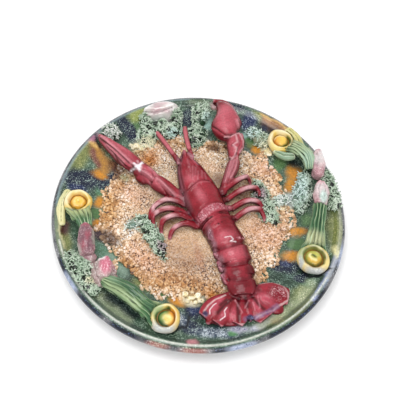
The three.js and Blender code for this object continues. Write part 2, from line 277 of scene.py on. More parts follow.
@dataclass(frozen=True)
class Glaze:
    """A lead glaze over clay: coloured washes that ran a little in the kiln.

    The washes are brushed on the mesh, where each vertex keeps its tint; the material adds what is
    finer than that.

    Attributes:
        name: the material's name.
        base, cloud: the two tones that it drifts between.
        cloud_size: size of that drift.
        flecks, share: colour of the fine crystals all over it, if any, and how much they take up.
        washes: colours brushed over it, in order.
        tones: positions and colours that each grain's own tone picks from.
        thin: colour where the glaze runs off edges, from the curvature given by thin_at.
        deep: colour where it gathers in hollows, from the curvature given by deep_at.
        painted_shade: painted shade on steep sides, the colour that they darken towards the steeper they are,
            if any.
        wander: how far the edges of the washes wander.
        roughness: of the surface.
        ripple, ripple_size: height and size of the surface's unevenness.
        mottle: share of fine light and dark mottling.
        index: of refraction.
    """

    name: str
    base: str
    cloud: str
    cloud_size: float = 9.0
    flecks: str | None = None
    share: float = 0.3
    washes: tuple[Wash, ...] = ()
    tones: tuple[tuple[float, str], ...] = ()
    thin: str | None = None
    thin_at: tuple[float, float] = (0.12, 0.5)
    deep: str | None = None
    deep_at: tuple[float, float] = (-0.05, -0.35)
    painted_shade: str | None = None
    wander: float = 3.0
    roughness: float = 0.14
    ripple: float = 0.12
    ripple_size: float = 5.0
    mottle: float = 0.25
    index: float = 1.46

    def brush(self, mesh: Mesh, only: np.ndarray | None = None) -> None:
        """Brushes the glaze on a mesh: each vertex keeps its tint, its flecks' colour and their share.

        Args:
            mesh: what to glaze.
            only: true for each vertex to glaze; all of them if left out.
        """
        points = positions(mesh)
        wandered = points.copy()
        for size, reach in WANDERS:
            wandered += self.wander * reach * np.stack([waves(points, size, k) for k in range(3)], axis=1)
        drift = np.clip(0.5 + DRIFT * waves(points, self.cloud_size, 7), 0, 1)[:, None]
        tint = self._light(self.base) * (1 - drift) + self._light(self.cloud) * drift
        fleck = np.tile(self._light(self.flecks or self.base), (len(points), 1))
        share = np.full((len(points), 1), self.share if self.flecks else 0.0)
        for wash in self.washes:
            cover = wash.cover(points if wash.still else wandered)[:, None]
            tint += cover * (self._light(wash.colour) - tint)
            fleck += cover * (self._light(wash.flecks or wash.colour) - fleck)
            share += cover * ((wash.share if wash.flecks else 0.0) - share)
        share *= np.clip(0.75 + DRIFT * waves(points, FLECK_PATCH, 21), 0.15, 1.3)[:, None]
        # Painted shade: steep sides are darkened towards this colour and carry fewer flecks.
        if self.painted_shade:
            steep = np.interp(normals(mesh)[:, 2], STEEP, (1, 0))[:, None] ** 1.2
            tint += 0.85 * steep * (self._light(self.painted_shade) - tint)
            share *= 1 - steep
        for name, values in (("tint", tint), ("fleck", fleck), ("share", share[:, 0])):
            store(mesh, name, values, only)

    def material(self) -> Material:
        """Builds the material.

        Returns:
            The new material.
        """
        material, tree, spot = new_material(self.name)
        colour = self._flecked(tree, spot)
        if self.mottle:
            speck = add_node(tree, "TexNoise", {"Vector": spot, **MOTTLE})
            shade = add_node(tree, "MapRange", dict(enumerate((speck.outputs["Fac"], *MOTTLE_SHADE))))
            colour = self._mixed(tree, self.mottle, colour, shade.outputs[0], "MULTIPLY")
        if self.tones:
            colour = self._mixed(tree, 1.0, colour, self._tone(tree), "MULTIPLY")
        bend = add_node(tree, "Attribute", attribute_name="curve").outputs["Fac"]
        for edge_colour, (start, end) in ((self.deep, self.deep_at), (self.thin, self.thin_at)):
            if edge_colour:
                amount = add_node(tree, "MapRange", {0: bend, 1: start, 2: end}).outputs[0]
                colour = self._mixed(tree, amount, colour, linear(edge_colour))
        look = {"Base Color": colour, "Roughness": self.roughness, "IOR": self.index}
        coat(tree, spot, self.ripple_size, self.ripple, look)
        return material

    def _light(self, colour: str) -> np.ndarray:
        """An sRGB hex colour as linear red, green and blue."""
        return np.array(linear(colour)[:3])

    def _mixed(
        self, tree: NodeTree, share: Value, under: Value, over: Value, blend: str = "MIX",
    ) -> NodeSocket:
        """Mixes one colour over another and returns the result's socket."""
        node = add_node(tree, "Mix", {0: share, 6: under, 7: over}, data_type="RGBA", blend_type=blend)
        return node.outputs[2]

    def _flecked(self, tree: NodeTree, spot: NodeSocket) -> NodeSocket:
        """The brushed tint with fine crystals of 1 to 2 mm through it.

        Args:
            tree: the material's node tree.
            spot: the socket of the place in millimetres.

        Returns:
            The socket of the colour.
        """
        tint, fleck, share = (
            add_node(tree, "Attribute", attribute_name=name).outputs[socket]
            for name, socket in (("tint", "Color"), ("fleck", "Color"), ("share", "Fac"))
        )
        crystals = add_node(tree, "TexNoise", {"Vector": spot, **CRYSTAL})
        none, all_over = CRYSTAL_START
        start = self._sum(tree, "MULTIPLY_ADD", share, all_over - none, none)
        above = self._sum(tree, "SUBTRACT", crystals.outputs["Fac"], start)
        grown, some = (
            add_node(tree, "MapRange", {0: value, 1: 0.0, 2: full}).outputs[0]
            for value, full in ((above, CRYSTAL_EDGE), (share, FEWEST_FLECKS))
        )
        return self._mixed(tree, self._sum(tree, "MULTIPLY", grown, some), tint, fleck)

    def _sum(self, tree: NodeTree, operation: str, *values: Value) -> NodeSocket:
        """Reckons with values or sockets and returns the result's socket."""
        return add_node(tree, "Math", dict(enumerate(values)), operation=operation).outputs[0]

    def _tone(self, tree: NodeTree) -> NodeSocket:
        """The colour that each grain's own tone picks.

        Args:
            tree: the material's node tree.

        Returns:
            The socket of the colour.
        """
        tone = add_node(tree, "Attribute", attribute_name="tone").outputs["Fac"]
        ramp = add_node(tree, "ValToRGB", {0: tone})
        for i, (position, colour) in enumerate(self.tones):
            elements = ramp.color_ramp.elements
            element = elements[i] if i < 2 else elements.new(position)
            element.position = position
            element.color = linear(colour)
        return ramp.outputs[0]


def touches(*values: Sequence[float]) -> tuple[Touch, ...]:
    """Touches from short tuples of their fields."""
    return tuple(Touch(*value) for value in values)


def pairs(route: Sequence[float]) -> Pairs:
    """Points in plan from x, y, x, y and so on."""
    return tuple(zip(route[::2], route[1::2]))


def streaks(width: float, *routes: Sequence[float]) -> tuple[Streak, ...]:
    """Streaks of one width, each along x, y, x, y and so on."""
    return tuple(Streak(width, pairs(route)) for route in routes)


def round_rim(radius: float, start: float, end: float) -> list[float]:
    """An arc round the plate's middle.

    Args:
        radius: of the arc.
        start, end: its ends in degrees from +X.

    Returns:
        The x and y of a point for every six degrees or so.
    """
    angles = np.radians(np.linspace(start, end, 2 + int(abs(end - start) / 6)))
    return [radius * turn(a) for a in angles for turn in (math.cos, math.sin)]


# Majolica rim: transparent coloured lead glazes over white slip, run together and flecked, glassy.
RIM_WASHES = (
    Wash("76804a", touches((-133, 54, 20, 9, 64), (-134, -46, 22, 7, 110), (141, -6, 24, 8, 95),
        (-81, 117, 11, 5, 30), (109, -82, 13, 9, 40), (57, 132, 10, 5, -30), (-48, -86, 12, 5, -30),
        (88, -106, 16, 7, 45)), 0.6, flecks="b3b274"),
    Wash("55774c", touches((-79, 100, 14, 8, -50), (84, 77, 16, 6, 50), (-118, -100, 10, 4, -40),
        (10, -100, 7, 5), (101, -101, 8, 5), (-107, 14, 5, 5), (112, 8, 6, 8), (-60, 92, 6, 9),
        (122, 92, 10, 5, -40)), 0.5, flecks="8fb07c"),
    Wash("6d6a3e", touches((104, -100, 12, 8, 45), (120, -88, 8, 5, 50)), 0.8, 0.8, "2f3a3a", 0.35),
    Wash("98a457", touches((-79, 117, 13, 6, 35)), 0.7, 0.9, "c6cb97", 0.3),
    Wash("1f3328", touches((-72, -112, 22, 7, -25), (18, -122, 16, 7), (-100, 92, 8, 10), (100, -58, 20, 11),
        (20, 140, 10, 6), (-20, 140, 16, 6)), 0.6, flecks="7f9f92"),
    Wash("7c8b6a", touches((-12, 142, 14, 4, -5)), 0.9, 0.7, flecks="b9c4a0"),
    Wash("557a5f", touches((-90, -56, 13, 7, -45), (112, 104, 13, 6, -38), (-76, -70, 10, 6, -40),
        (-108, 20, 5, 8), (115, -66, 7, 6)), 0.5, flecks="94bdb0"),
    Wash("a9cfc4", touches((-63, 135, 5, 4), (-2, 120, 6, 9), (44, 108, 8, 6)), 0.6),
    Wash("76804a", touches((49, 98, 6, 5)), 0.6),
    Wash("9ab0a0", touches((-72, -71, 8, 4, -40), (-84, -60, 6, 4, -40)), 0.8, 0.7),
    Wash("5a6f66", touches((-64, -121, 14, 6, -28), (-84, -113, 8, 5, -40)), 0.5, flecks="a7bcae"),
    Wash("0b1732", touches((-128, 27, 22, 12, 12), (-98, 34, 7, 10), (-105, 25, 8, 7), (-88, 98, 21, 8, -48),
        (-23, 124, 8, 10), (5, -108, 10, 9), (2, -126, 12, 8), (90, -48, 15, 9), (108, -62, 8, 6),
        (30, 141, 10, 4, -8), (-101, -101, 10, 4, -38), (76, -45, 6, 5)), 0.35, flecks="bcd2c8", share=0.2),
    Wash("16254f", touches((44, 126, 8, 11), (5, -106, 6, 5), (92, -45, 5, 4), (-130, 14, 9, 5)), 0.5,
        flecks="c8d6ee", share=0.16),
    Wash("4d332f", touches((-98, 50, 10, 6, -40), (67, 123, 11, 6, -20), (-134, -34, 5, 10, 5),
        (-84, 40, 9, 5, -30)), 0.5, flecks="94664e", share=0.35),
    Wash("3a2a33", touches((-98, -36, 9, 7, -20)), 0.5, flecks="7d6663", share=0.3),
    Wash("33211f", touches((74, 117, 15, 7, -38)), 0.5, flecks="5f4032", share=0.3),
    Wash("1d2338", touches((62, 118, 6, 5), (88, 103, 7, 4, -45)), 0.6, 0.9, flecks="55628a"),
    Wash("8a5f38", streaks(7.0, (-120, 67, -111, 56, -108, 45)), 0.6, 0.9, flecks="c99a4e", share=0.45),
    Wash("c58f3e", streaks(3.2, (-121, 70, -111, 58, -107, 44)), 0.8, 0.85, flecks="7a4a36", share=0.22),
    Wash("74413c", streaks(2.6, (-122, 64, -117.5, 56, -114, 48)), 0.8, 0.85, flecks="c79a8c", share=0.25),
    Wash("a8733e", streaks(3.4, (62, 131, 72, 125, 85, 117, 94, 109)), 1.0, 0.95, flecks="5a3226",
        share=0.25),
    Wash("e9c283", streaks(1.6, (58, 135, 68, 130.5, 79, 124, 91, 115)), 1.0, 0.85),
    Wash("e6bd72", streaks(2.6, (-128, 76, -120, 70), (88, 117, 98, 110)), 0.8, 0.9),
    Wash("d9902a", touches((-110, 36, 5, 8, 70), (57, 91, 6, 6), (98, 64, 8, 9, 8), (95, 50, 6, 9, 8),
        (103, -8, 10, 5), (98, -36, 9, 5), (-13, -98, 9, 6, -15), (-37, -90, 4, 5), (-106, 3, 5, 6),
        (-104, -23, 5, 6), (21, -89, 7, 6), (-58, 66, 8, 12)), 0.6, 0.95, "9c7a34", 0.25),
    Wash("55794a", touches((-107, -11, 5, 6), (102, -22, 9, 7), (-25, -93, 8, 4), (47, 103, 6, 5)), 0.3),
    Wash("efe6c4", touches((0, -93, 11, 8), (-72, 76, 10, 7), (68, 92, 7, 6), (90, 22, 8, 5)), 0.4,
        flecks="c2ab72", share=0.2),
    Wash("faf6e8", touches((-67, 80, 11, 6, -10), (2, -95, 8, 5)), 0.6, 1.0, flecks="c9b87a", share=0.22),
    Wash("e3eaec", touches((92, 30, 10, 8, 30)), 0.7, 0.9, flecks="9fb4b4", share=0.25),
    Wash("cfd0da", touches((66, -119, 10, 4, 30), (78, -111, 8, 4, 40), (48, -123, 8, 4, 10)), 0.5,
        flecks="5d5484", share=0.45),
    Wash("3c4a60", touches((28, -130, 22, 6, 3), (-8, -122, 8, 8)), 0.6, 0.9, flecks="dfe8f2", share=0.5),
    Wash("5c9a5c", touches((44, -128, 4, 3)), 0.5, 0.8),
    Wash("a8824a", touches((84, -110, 6, 4, 40)), 0.6, 0.8),
    Wash("98a582", streaks(5.0, round_rim(136, -30, -60), round_rim(138, 212, 246)), 0.8, 0.72,
        flecks="dfe0c4", share=0.32),
    Wash("a7b0d0", streaks(2.2, round_rim(146, -14, -36)), 0.7, 0.9, flecks="5c6ea6"),
    Wash("e6e0a8", touches((142, -32, 4, 7, 10)), 0.6),
    Wash("93a7ac", streaks(1.3, round_rim(148, 100, 184)), 0.9, 0.7, still=True),
    Wash("7d8a74", streaks(2.2, round_rim(147, 184, 205)), 0.6, 0.8),
    Wash("d9d3a6", streaks(1.2, (-142, -20, -139, -38, -133, -55, -128, -64)), 0.6, 0.8),
    Wash("2b3a33", streaks(1.6, round_rim(142.5, 205, 335)), 0.9, 0.6, still=True),
    # Painted highlight along the lip's crest, partly the glaze run thin there.
    Wash("e9ecdf", streaks(0.7, round_rim(146.2, 200, 335)), 0.8, 0.8, flecks="5a6a70", share=0.15,
        still=True),
    Wash("d6d6c4", streaks(1.0, round_rim(147, 335, 400)), 0.8, 0.7, still=True),
    Wash("b0698a", touches((-124, 80, 6, 5, 50)), 0.6, 0.8),
    Wash("d58f96", touches((9, 141, 9, 4, 5), (6, -143, 6, 3)), 0.5, 0.85),
    Wash("161a2c", streaks(1.3, (-122, 85, -119, 76, -115, 70)), 0.5, 0.9),
    # Painted shadow under the arches of the lower left stalk and the upper right stalk.
    Wash("1a1f26", streaks(4.5, (-80, -106, -66, -112, -50, -121)) + touches((100, 76, 9, 5, -20)), 0.8, 0.8,
        flecks="4d5a5c", share=0.3),
    # Painted shadow lines round the bottoms of the right lower and left lower cups.
    Wash("12161c", streaks(1.6, (106, -46, 109, -55, 117, -61, 127, -60, 135, -53),
        (-34, -124, -26, -133, -14, -133, -3, -127, 0, -116)), 0.5, 0.9),
)
RIM_GLAZE = Glaze(
    name="majolica rim glaze",
    base="4a6450",
    cloud="2b4034",
    cloud_size=10.0,
    flecks="a3bca6",
    share=0.34,
    washes=RIM_WASHES,
    thin="e3e0cf",
    thin_at=(0.1, 0.4),
    deep="141d17",
    deep_at=(-0.05, -0.28),
    wander=3.4,
    mottle=0.6,
)


# Tortoiseshell glaze on the outside and back: blue-black, sponged with white and brown, glassy.
BACK_GLAZE = Glaze(
    name="tortoiseshell back glaze",
    base="2a3036",
    cloud="77777a",
    cloud_size=7.0,
    flecks="c6c8cc",
    share=0.22,
    washes=(
        Wash("0d121f", touches((-96, -116, 16, 6, -38), (38, -148, 12, 5), (118, -96, 34, 7, 50),
            (90, -122, 16, 4, 36), (-130, -78, 10, 5, -60), (-60, -138, 16, 5, -24)), 0.3, flecks="5f74a0",
            share=0.15),
        Wash("a9b4cc", touches((54, -142, 14, 5, 20), (-120, -94, 12, 4, -50), (148, -40, 5, 18)), 0.5,
            flecks="2c3558"),
        Wash("8f5a55", touches((8, -151, 12, 5), (-26, -149, 10, 4)), 0.5, flecks="d9c9b8"),
    ),
    thin="e6e3d6",
    thin_at=(0.14, 0.5),
    mottle=0.5,
)


# Grit: crushed fired clay thrown on the wet glaze, each grain its own tan, with a glassy film.
GRIT_WASHES = (
    Wash("dcab62", touches((-95, -2, 7, 18), (-66, -66, 14, 6, -45)), 0.7, 0.75, "fff1d6", 0.45),
    Wash("e2b87c", touches((-94, -4, 8, 20), (-20, -82, 44, 8), (0, 88, 34, 6), (-88, 30, 6, 9),
        (74, -62, 6, 9), (-62, 66, 12, 10, 20), (84, 58, 8, 16)), 0.6, 0.7, "fff1d6", 0.3),
    Wash("f0cdbb", touches((70, -14, 22, 20), (-50, -58, 22, 10, -40), (66, 66, 14, 10), (-66, 22, 18, 14)),
        0.7, 0.7),
    Wash("f4ebcf", touches((0, -92, 11, 8), (-70, 75, 10, 7), (84, 22, 9, 6)), 0.5),
    Wash("ffffff", touches((-73, -25, 7, 13, 10), (84, 26, 10, 6, 30)), 0.7),
    Wash("604640", touches((-90, -38, 12, 7, -25)), 0.5, 0.8),
    Wash("fbe0cf", touches((-46, 56, 14, 22, 40), (10, 70, 22, 12)), 0.8, 0.8),
    Wash("fffaf4", touches((-48, 46, 24, 28, 40), (20, 76, 26, 12)), 0.8, 1.0),
    Wash("dd9638", touches((-61, 63, 8, 10), (21, -89, 6, 6)), 0.9, 0.9),
    # Partly a brown stain, partly painted shade in the gap between the head and the right arm.
    Wash("6a3436", touches((17, 44, 6, 9, 10)), 0.7, 0.7),
    Wash("bda08c", touches((-8, -54, 28, 22, -20)), 0.9, 0.75),
    Wash("d5a878", touches((-10, -78, 40, 8, -4)), 0.9, 0.5),
    Wash("c89a88", touches((5, -48, 4, 18, 20)), 0.8, 0.5),
    # Painted shade on the grit under the left and right legs.
    Wash("a0705c", touches((-38, -12, 12, 10), (46, 26, 10, 12)), 0.8, 0.6),
    # Painted shade on the grit under the left claw and below the right claw.
    Wash("6b4630", touches((-94, 44, 15, 8, -42), (8, 88, 7, 5)), 0.7, 0.85),
    Wash("cfd8c0", touches((-83, 37, 5, 4)), 0.7, 0.9),
)
GRIT = Glaze(
    name="fired clay grit",
    base="fff5ea",
    cloud="fbe8d7",
    washes=GRIT_WASHES,
    tones=((0.0, "6a5040"), (0.2, "b99c7e"), (0.42, "e9d0b0"), (0.65, "fcf2e4"), (1.0, "ffffff")),
    roughness=0.3,
    ripple=0.1,
    ripple_size=0.8,
    mottle=0.2,
    deep="9a7458",
    deep_at=(-0.6, -2.6),
)


# Clots of grit under thick cream glaze, brown in the cracks.
CREAM = Glaze(
    name="cream glazed grit",
    base="fbf3da",
    cloud="e9d9a6",
    cloud_size=2.5,
    deep="8a6a3c",
    deep_at=(-0.1, -0.9),
    mottle=0.3,
)


# Crimson lead glaze: deep and glassy, pink where it runs thin over edges, almost black in grooves, with
# painted shade on its steep sides.
CRIMSON_WASHES = (
    # Painted highlight along the top of the body, and painted shade down its right side.
    Wash("bd4756", streaks(6.5, (-15, 52, -7, 28, 5, 4, 17, -18, 29, -42, 37, -58, 43, -74)), 0.9, 0.22),
    Wash("470712", streaks(3.6,
        (-5, 56, 4, 48, 16, 34, 28, 8, 38, -12, 45, -28, 51, -45, 56, -60, 60, -72, 64, -84)), 0.9, 0.65),
    # Paler claws and arms: partly a paler glaze, partly a painted sheen on their tops.
    Wash("b8525f", touches((-92, 57, 26, 9, -42), (-55, 31, 18, 7, -38), (20, 112, 14, 20, 30),
        (30, 80, 9, 12)), 0.5, 0.85),
    Wash("8a2434", touches((-80, 57, 15, 5, -38)), 0.7, 0.35),
    Wash("6b1a26", touches((-92, 46, 9, 3.5, -42), (-66, 34, 8, 3, -40)), 0.8, 0.5),
    Wash("932f3c", touches((28, 50, 7, 14)), 0.5, 0.9),
    # Painted highlight along the antennae.
    Wash("d4757e", streaks(4.0, (-57, 96, -46, 79, -37, 65), (-27, 101, -24, 87, -20.6, 73)), 0.5, 0.65),
    # Painted highlights: pink on the tail lobes, along the claws' ridges, broad ones on the abdomen, head and
    # right claw, and pale pink on the arches of the legs.
    Wash("c25566", touches((23, -107, 9, 3.5, 60), (33, -113, 7, 3, 70), (42, -112, 7, 2.5, 84),
        (64, -101, 9, 3, 126), (72, -92, 9, 5, 160), (28, -99, 5, 3, 60)), 0.9, 0.75),
    Wash("c4636f", touches((-106, 70, 12, 4, -40), (-88, 62, 10, 3, -40), (18, 126, 5, 6)), 0.9, 0.6),
    Wash("cf6a77", touches((37.5, -50, 10, 8, 20), (28, -33, 9, 6, 30), (-13, 31, 4, 7, 80), (12, 118, 9, 9),
        (16, 102, 8, 5), (-1, 12, 4, 9, 30)), 0.9, 0.6),
    Wash("e6b6bb", touches((-36, 6, 9, 2.5), (-40, -1, 10, 3.5, -5), (-32, -12, 8, 3.5, -10),
        (-48, -3, 2.5, 6, 20), (-44, -9, 2.5, 5, 20), (-25, -22, 6, 3), (42, 44, 8, 2.5, 40),
        (48, 31, 9, 2.5, 30), (53, 16, 7, 2.5, 20), (54, 6, 8, 2.5, 30)), 0.8, 0.75),
    Wash("7a4f58", streaks(3.2, (-27, 58, -28, 47, -25.5, 32, -21, 19, -16, 8, -11, -5)), 0.9, 0.75,
        flecks="5b3b43", share=0.4),
    Wash("9b747e", streaks(1.6, (-20.5, 66, -14, 60.5, -6.6, 52), (-24.5, 64, -27, 58)) +
        touches((12, -28, 3, 8, 20), (17, -41, 3, 6, 20), (26, -57, 2.5, 5, 15), (29, -66, 2.5, 6, 10)), 0.7,
        0.6, flecks="4e3a3f", share=0.35),
    Wash("a94c5a", streaks(4.4, (1, -14, 6, -8, 14, -2, 23, 3, 29, 5)), 0.3, 0.9, flecks="e0abb2",
        share=0.42),
    # Painted shade on the sides of the fourth tail segment; the fifth is darker all over.
    Wash("5f0b18", touches((47, -84, 13, 9, -75), (41, -71, 4, 6, 10), (54, -66, 4, 6)), 0.8, 0.75),
    # Painted shade in the folds between the lobes of the tail fan.
    Wash("43060f", streaks(1.7, (40, -95, 33, -103, 27, -112), (46, -94, 46, -104, 48, -117),
        (53, -93, 55, -103), (60, -91, 65, -98, 71, -103), (35, -97, 29, -104)), 0.9, 0.85),
    Wash("9c6a78", streaks(2.4, (12, -27, 17.5, -44, 23, -58, 28, -72, 33, -86)), 0.8, 0.6, flecks="e3ccd0",
        share=0.32),
    # Pale streaks on the head and under the neck groove: partly the glaze's own pale lines, partly painted
    # highlights on ridges.
    Wash("cf8a94", streaks(1.0, (-20, 64.5, -14, 59.5, -7.5, 51.5), (-12.1, 46, -10.8, 31),
        (-5.8, 41, -4.9, 31), (-18.2, 55, -15.6, 46.5, -14.2, 40),
        (7, 30.8, -3.5, 26.5, -9, 21.8, -14.3, 16.5), (-2, 44, -1, 34), (1.5, 42, 3, 34), (-9, 48, -8.4, 34)),
        0.9, 0.22),
    # Painted highlights along the arms' ridges, and pale painted highlight lines on the right claw and wrist
    # and at the left knuckle.
    Wash("dfa0a8", streaks(2.0, (-114, 75.5, -100, 63.2, -90.5, 54.8, -80, 45.8, -73, 41),
        (-107, 66.3, -97, 56.3, -85.7, 45), (-66, 35.5, -59.6, 33, -53, 29),
        (-49, 29, -45.5, 27, -40.5, 23.5, -34, 18, -27, 12.5), (-57, 41, -48, 35),
        (31, 110, 36, 101, 38.5, 92), (27.6, 61, 25, 45, 23.6, 36), (30.8, 61, 26.8, 42),
        (34.5, 66, 33.5, 52, 30, 42)), 0.9, 0.4),
    Wash("ecc6ca", streaks(1.1, (19, 89.3, 26, 89.4, 34, 94.8), (30.6, 91.7, 33.1, 82.5, 28.3, 78.3),
        (28.3, 78.3, 33, 75, 31.5, 68.5), (34.2, 94.5, 39.4, 86, 40, 80, 36.5, 72),
        (24, 66, 28.3, 62.8, 32.5, 68), (-71, 47, -68.5, 42, -66.5, 37)), 0.9, 0.42),
    # Painted glints: thin white lines on the left tail lobes and the abdomen, softer pink ones on the telson
    # and right lobes, and a white star at the left knuckle.
    Wash("fff4f6", streaks(0.5, (24.7, -103, 22.3, -105, 19.4, -110, 19.9, -114),
        (35.3, -106, 33, -110, 34.3, -115.5, 30, -119.3),
        (27.8, -34.3, 33.8, -32.6, 36.4, -35.6, 33.4, -38.2, 39, -37.6)), 0.7, 0.7),
    Wash("e9a3ad", streaks(0.7, (43, -96.5, 50.5, -109.4), (56.2, -95, 53, -104), (60, -97.5, 62.7, -105),
        (64.4, -89, 67.4, -102)), 0.9, 0.28),
    Wash("fbf2f6", streaks(1.3, (-77, 36.3, -69, 39.5, -65.5, 45.5), (-73.5, 42.5, -67, 35.5)) +
        touches((-69.5, 39.5, 3.4, 2.6)), 0.8, 0.95),
    Wash("e2c4c2", streaks(0.9, (14, -112, 17, -106, 24, -98, 33, -92),
        (61, -68, 66, -75, 78, -72, 89, -75, 94, -83, 95, -90, 86, -97),
        (13, -118, 17, -122.5, 27, -125, 39, -125, 50, -121, 58, -118, 66, -111, 80, -103, 88, -95)), 0.6,
        0.6),
    Wash("7d1626", touches((84, -84, 9, 8)), 0.4, 0.9, flecks="e8bcc0", share=0.4),
    Wash("84607c", streaks(2.6, (54, -115, 64, -112, 75, -106, 84, -98)), 0.6, 0.7, flecks="4a4e94",
        share=0.4),
    Wash("1c2248", touches((15.5, -114, 3, 3), (58.5, -113, 4, 3, 10)), 0.4, 0.9, flecks="8f9cc4"),
)
CRIMSON = Glaze(
    name="crimson lobster glaze",
    base="7c0d1b",
    cloud="9c2635",
    cloud_size=7.0,
    washes=CRIMSON_WASHES,
    wander=0.7,
    # The pale thin colour is partly glaze run thin over ridges and partly a painted highlight on the tops of
    # legs, claws and ridges.
    thin="e09aa4",
    thin_at=(0.2, 0.56),
    deep="3c0811",
    deep_at=(-0.05, -0.42),
    painted_shade="3d0a14",
    roughness=0.2,
    ripple=0.2,
    ripple_size=3.5,
    mottle=0.5,
    index=1.38,
)


# Moss: clay pushed through a sieve, celadon glaze thin on the strands, matt as it is so fine.
CELADON = Glaze(
    name="celadon moss glaze",
    base="e3eedf",
    cloud="c2d4c0",
    cloud_size=7.0,
    washes=(
        Wash("d9efea", touches((-36, 97, 9, 6), (-2, 122, 6, 8)), 0.5),
        Wash("e4f6f6", touches((100, 42, 12, 22), (47, 109, 10, 7)), 0.6),
        Wash("fcffff", touches((87, 28, 11, 8), (-70, -21, 8, 6)), 0.6),
        Wash("cbb3bd", touches((62, 30, 6, 10), (-32, -44, 6, 6)), 0.5),
        Wash("fdfbfb", touches((-104, 88, 12, 9)), 0.5),
        Wash("f8f0d4", touches((68, 92, 8, 8), (-64, 82, 12, 6), (-96, -92, 8, 5)), 0.5),
    ),
    tones=((0.0, "2f4436"), (0.3, "93a893"), (0.6, "f4f8f2"), (1.0, "ffffff")),
    roughness=0.3,
    ripple=0.05,
    ripple_size=1.0,
    mottle=0.12,
)


# Under the moss: copper green glaze, painted almost black as the shade in the holes between the strands.
MOSS_SHADE = Glaze(
    name="copper green glaze with painted shade",
    base="1c2a1c",
    cloud="070b08",
    cloud_size=3.0,
    washes=(
        Wash("7f998e", touches((102, 44, 12, 22), (87, 28, 10, 7), (-70, -21, 7, 6)), 0.6, 0.85),
        Wash("a3a78c", touches((60, 102, 18, 10, -35)), 0.6, 0.85),
        Wash("2f4a35", touches((-8, 115, 6, 6), (-5, 106, 4, 5)), 0.5),
    ),
    roughness=0.25,
)


# Cup discs: iron yellow glaze, orange where thick, glassy.
YELLOW = Glaze(
    name="iron yellow disc glaze",
    base="dfbd5c",
    cloud="e8d488",
    cloud_size=8.0,
    washes=(
        Wash("3f5f38", touches((96, 101, 3, 10, 10), (-126, -20, 14, 4)), 0.5),
        Wash("a3abb0", touches((-24, -134, 13, 6), (120, -60, 13, 5), (106, -50, 3, 7)), 0.7, 0.9, "d5dadd",
            0.3),
        Wash("a3b27c", touches((-32, -114, 5, 12, 10), (118, -28, 14, 5), (108, -40, 4, 8)), 0.6),
        Wash("ecdcae", touches((-137, -3, 4, 9), (-126, 8, 12, 4), (-118, 8, 8, 4), (84, 110, 10, 4),
            (68, 98, 4, 10)), 0.6),
        Wash("dfa04e", touches((-4, -116, 5, 9), (134, -36, 3, 5)), 0.6, 0.8),
    ),
    thin="f3e9c6",
    thin_at=(0.18, 0.6),
    deep="94601f",
    deep_at=(-0.18, -0.75),
    mottle=0.15,
)


# Stalks: copper green glaze, pale on the ribs and dark in the grooves, with painted shade on their steep
# sides.
STALK_GREEN = Glaze(
    name="copper green stalk glaze",
    base="4d7447",
    cloud="39613f",
    cloud_size=7.0,
    washes=(
        Wash("b9b98a", touches((-38, -104, 8, 4, -40), (118, -24, 10, 7), (92, 92, 7, 6)), 0.6, 0.8),
        Wash("c2c78c", touches((-124, -17, 15, 8)), 0.8, 0.85),
        Wash("8fab8e", touches((-76, -88, 10, 8), (106, 74, 8, 7)), 0.7, 0.5),
        Wash("a5b787", streaks(4.0, (-80, -98, -68, -105, -57, -113, -50, -118)), 0.8, 0.75),
        Wash("2a5232", streaks(3.0, (-68, -92, -54, -101, -44, -108)), 0.8, 0.6),
        Wash("2f5a38", touches((121, 0, 11, 17)), 0.8, 0.6),
        Wash("b4c39a", touches((100, 82, 14, 9, -35)), 0.8, 0.85),
        Wash("a3c0ab", touches((112, 68, 12, 9, -50)), 0.8, 0.85),
    ),
    thin="a9be93",
    thin_at=(0.22, 0.62),
    deep="0c2414",
    deep_at=(0.03, -0.12),
    painted_shade="1d3a22",
    mottle=0.25,
)


# Buds: manganese pink over white slip, streaked lengthwise and mottled brown.
BUD_PINK_WASHES = (
    Wash("7a525c", touches((-108, -52, 10, 19, 15)), 0.5, flecks="b8999c", share=0.25),
    Wash("a3a79c", streaks(1.6, (-118, -40, -119, -54, -113, -66), (-103, -40, -100, -54)), 0.9, 0.7),
    Wash("c98694", touches((121, 88, 5, 5)), 0.6, 0.8),
    Wash("8c5f6a", touches((121, 72, 2.5, 5, -20), (119, 64, 2.5, 3)), 0.7, 0.75),
    Wash("f4eeee", touches((124, 78, 3, 6)), 0.7, 0.8),
    Wash("a5505e", touches((-108, -48, 3, 5), (-110, -60, 3, 5), (-112, -36, 4, 3), (122, 90, 4, 5)), 0.9,
        0.75, flecks="5d3b40", share=0.35),
    Wash("a3908c", touches((-96, -82, 8, 13), (-88, -96, 10, 7), (-76, -88, 5, 8)), 0.6, 0.85,
        flecks="dcd4cc", share=0.35),
    Wash("c9637c", touches((-84, -78, 6, 9)), 0.4, 0.85, flecks="efc6d0", share=0.3),
    # Painted highlight on the cone bud's upper left.
    Wash("faf2f2", touches((-89, -72, 2.5, 4, 60)), 0.6, 0.9),
    Wash("dbd6d4", touches((122, 74, 7, 9), (124, 34, 8, 9)), 0.6, 0.8, flecks="e6b4bb", share=0.3),
    Wash("e3a9b2", touches((122, 46, 6, 6)), 0.6, 0.8),
    Wash("bfdcd2", touches((127, 24, 5, 7)), 0.5, 0.8),
)
BUD_PINK = Glaze(
    name="manganese pink bud glaze",
    base="d0a9ad",
    cloud="b08088",
    cloud_size=4.0,
    flecks="f0e4e0",
    share=0.25,
    washes=BUD_PINK_WASHES,
    thin="efdcda",
    thin_at=(0.26, 0.85),
    deep="553a3c",
    deep_at=(-0.12, -0.7),
    mottle=0.4,
)


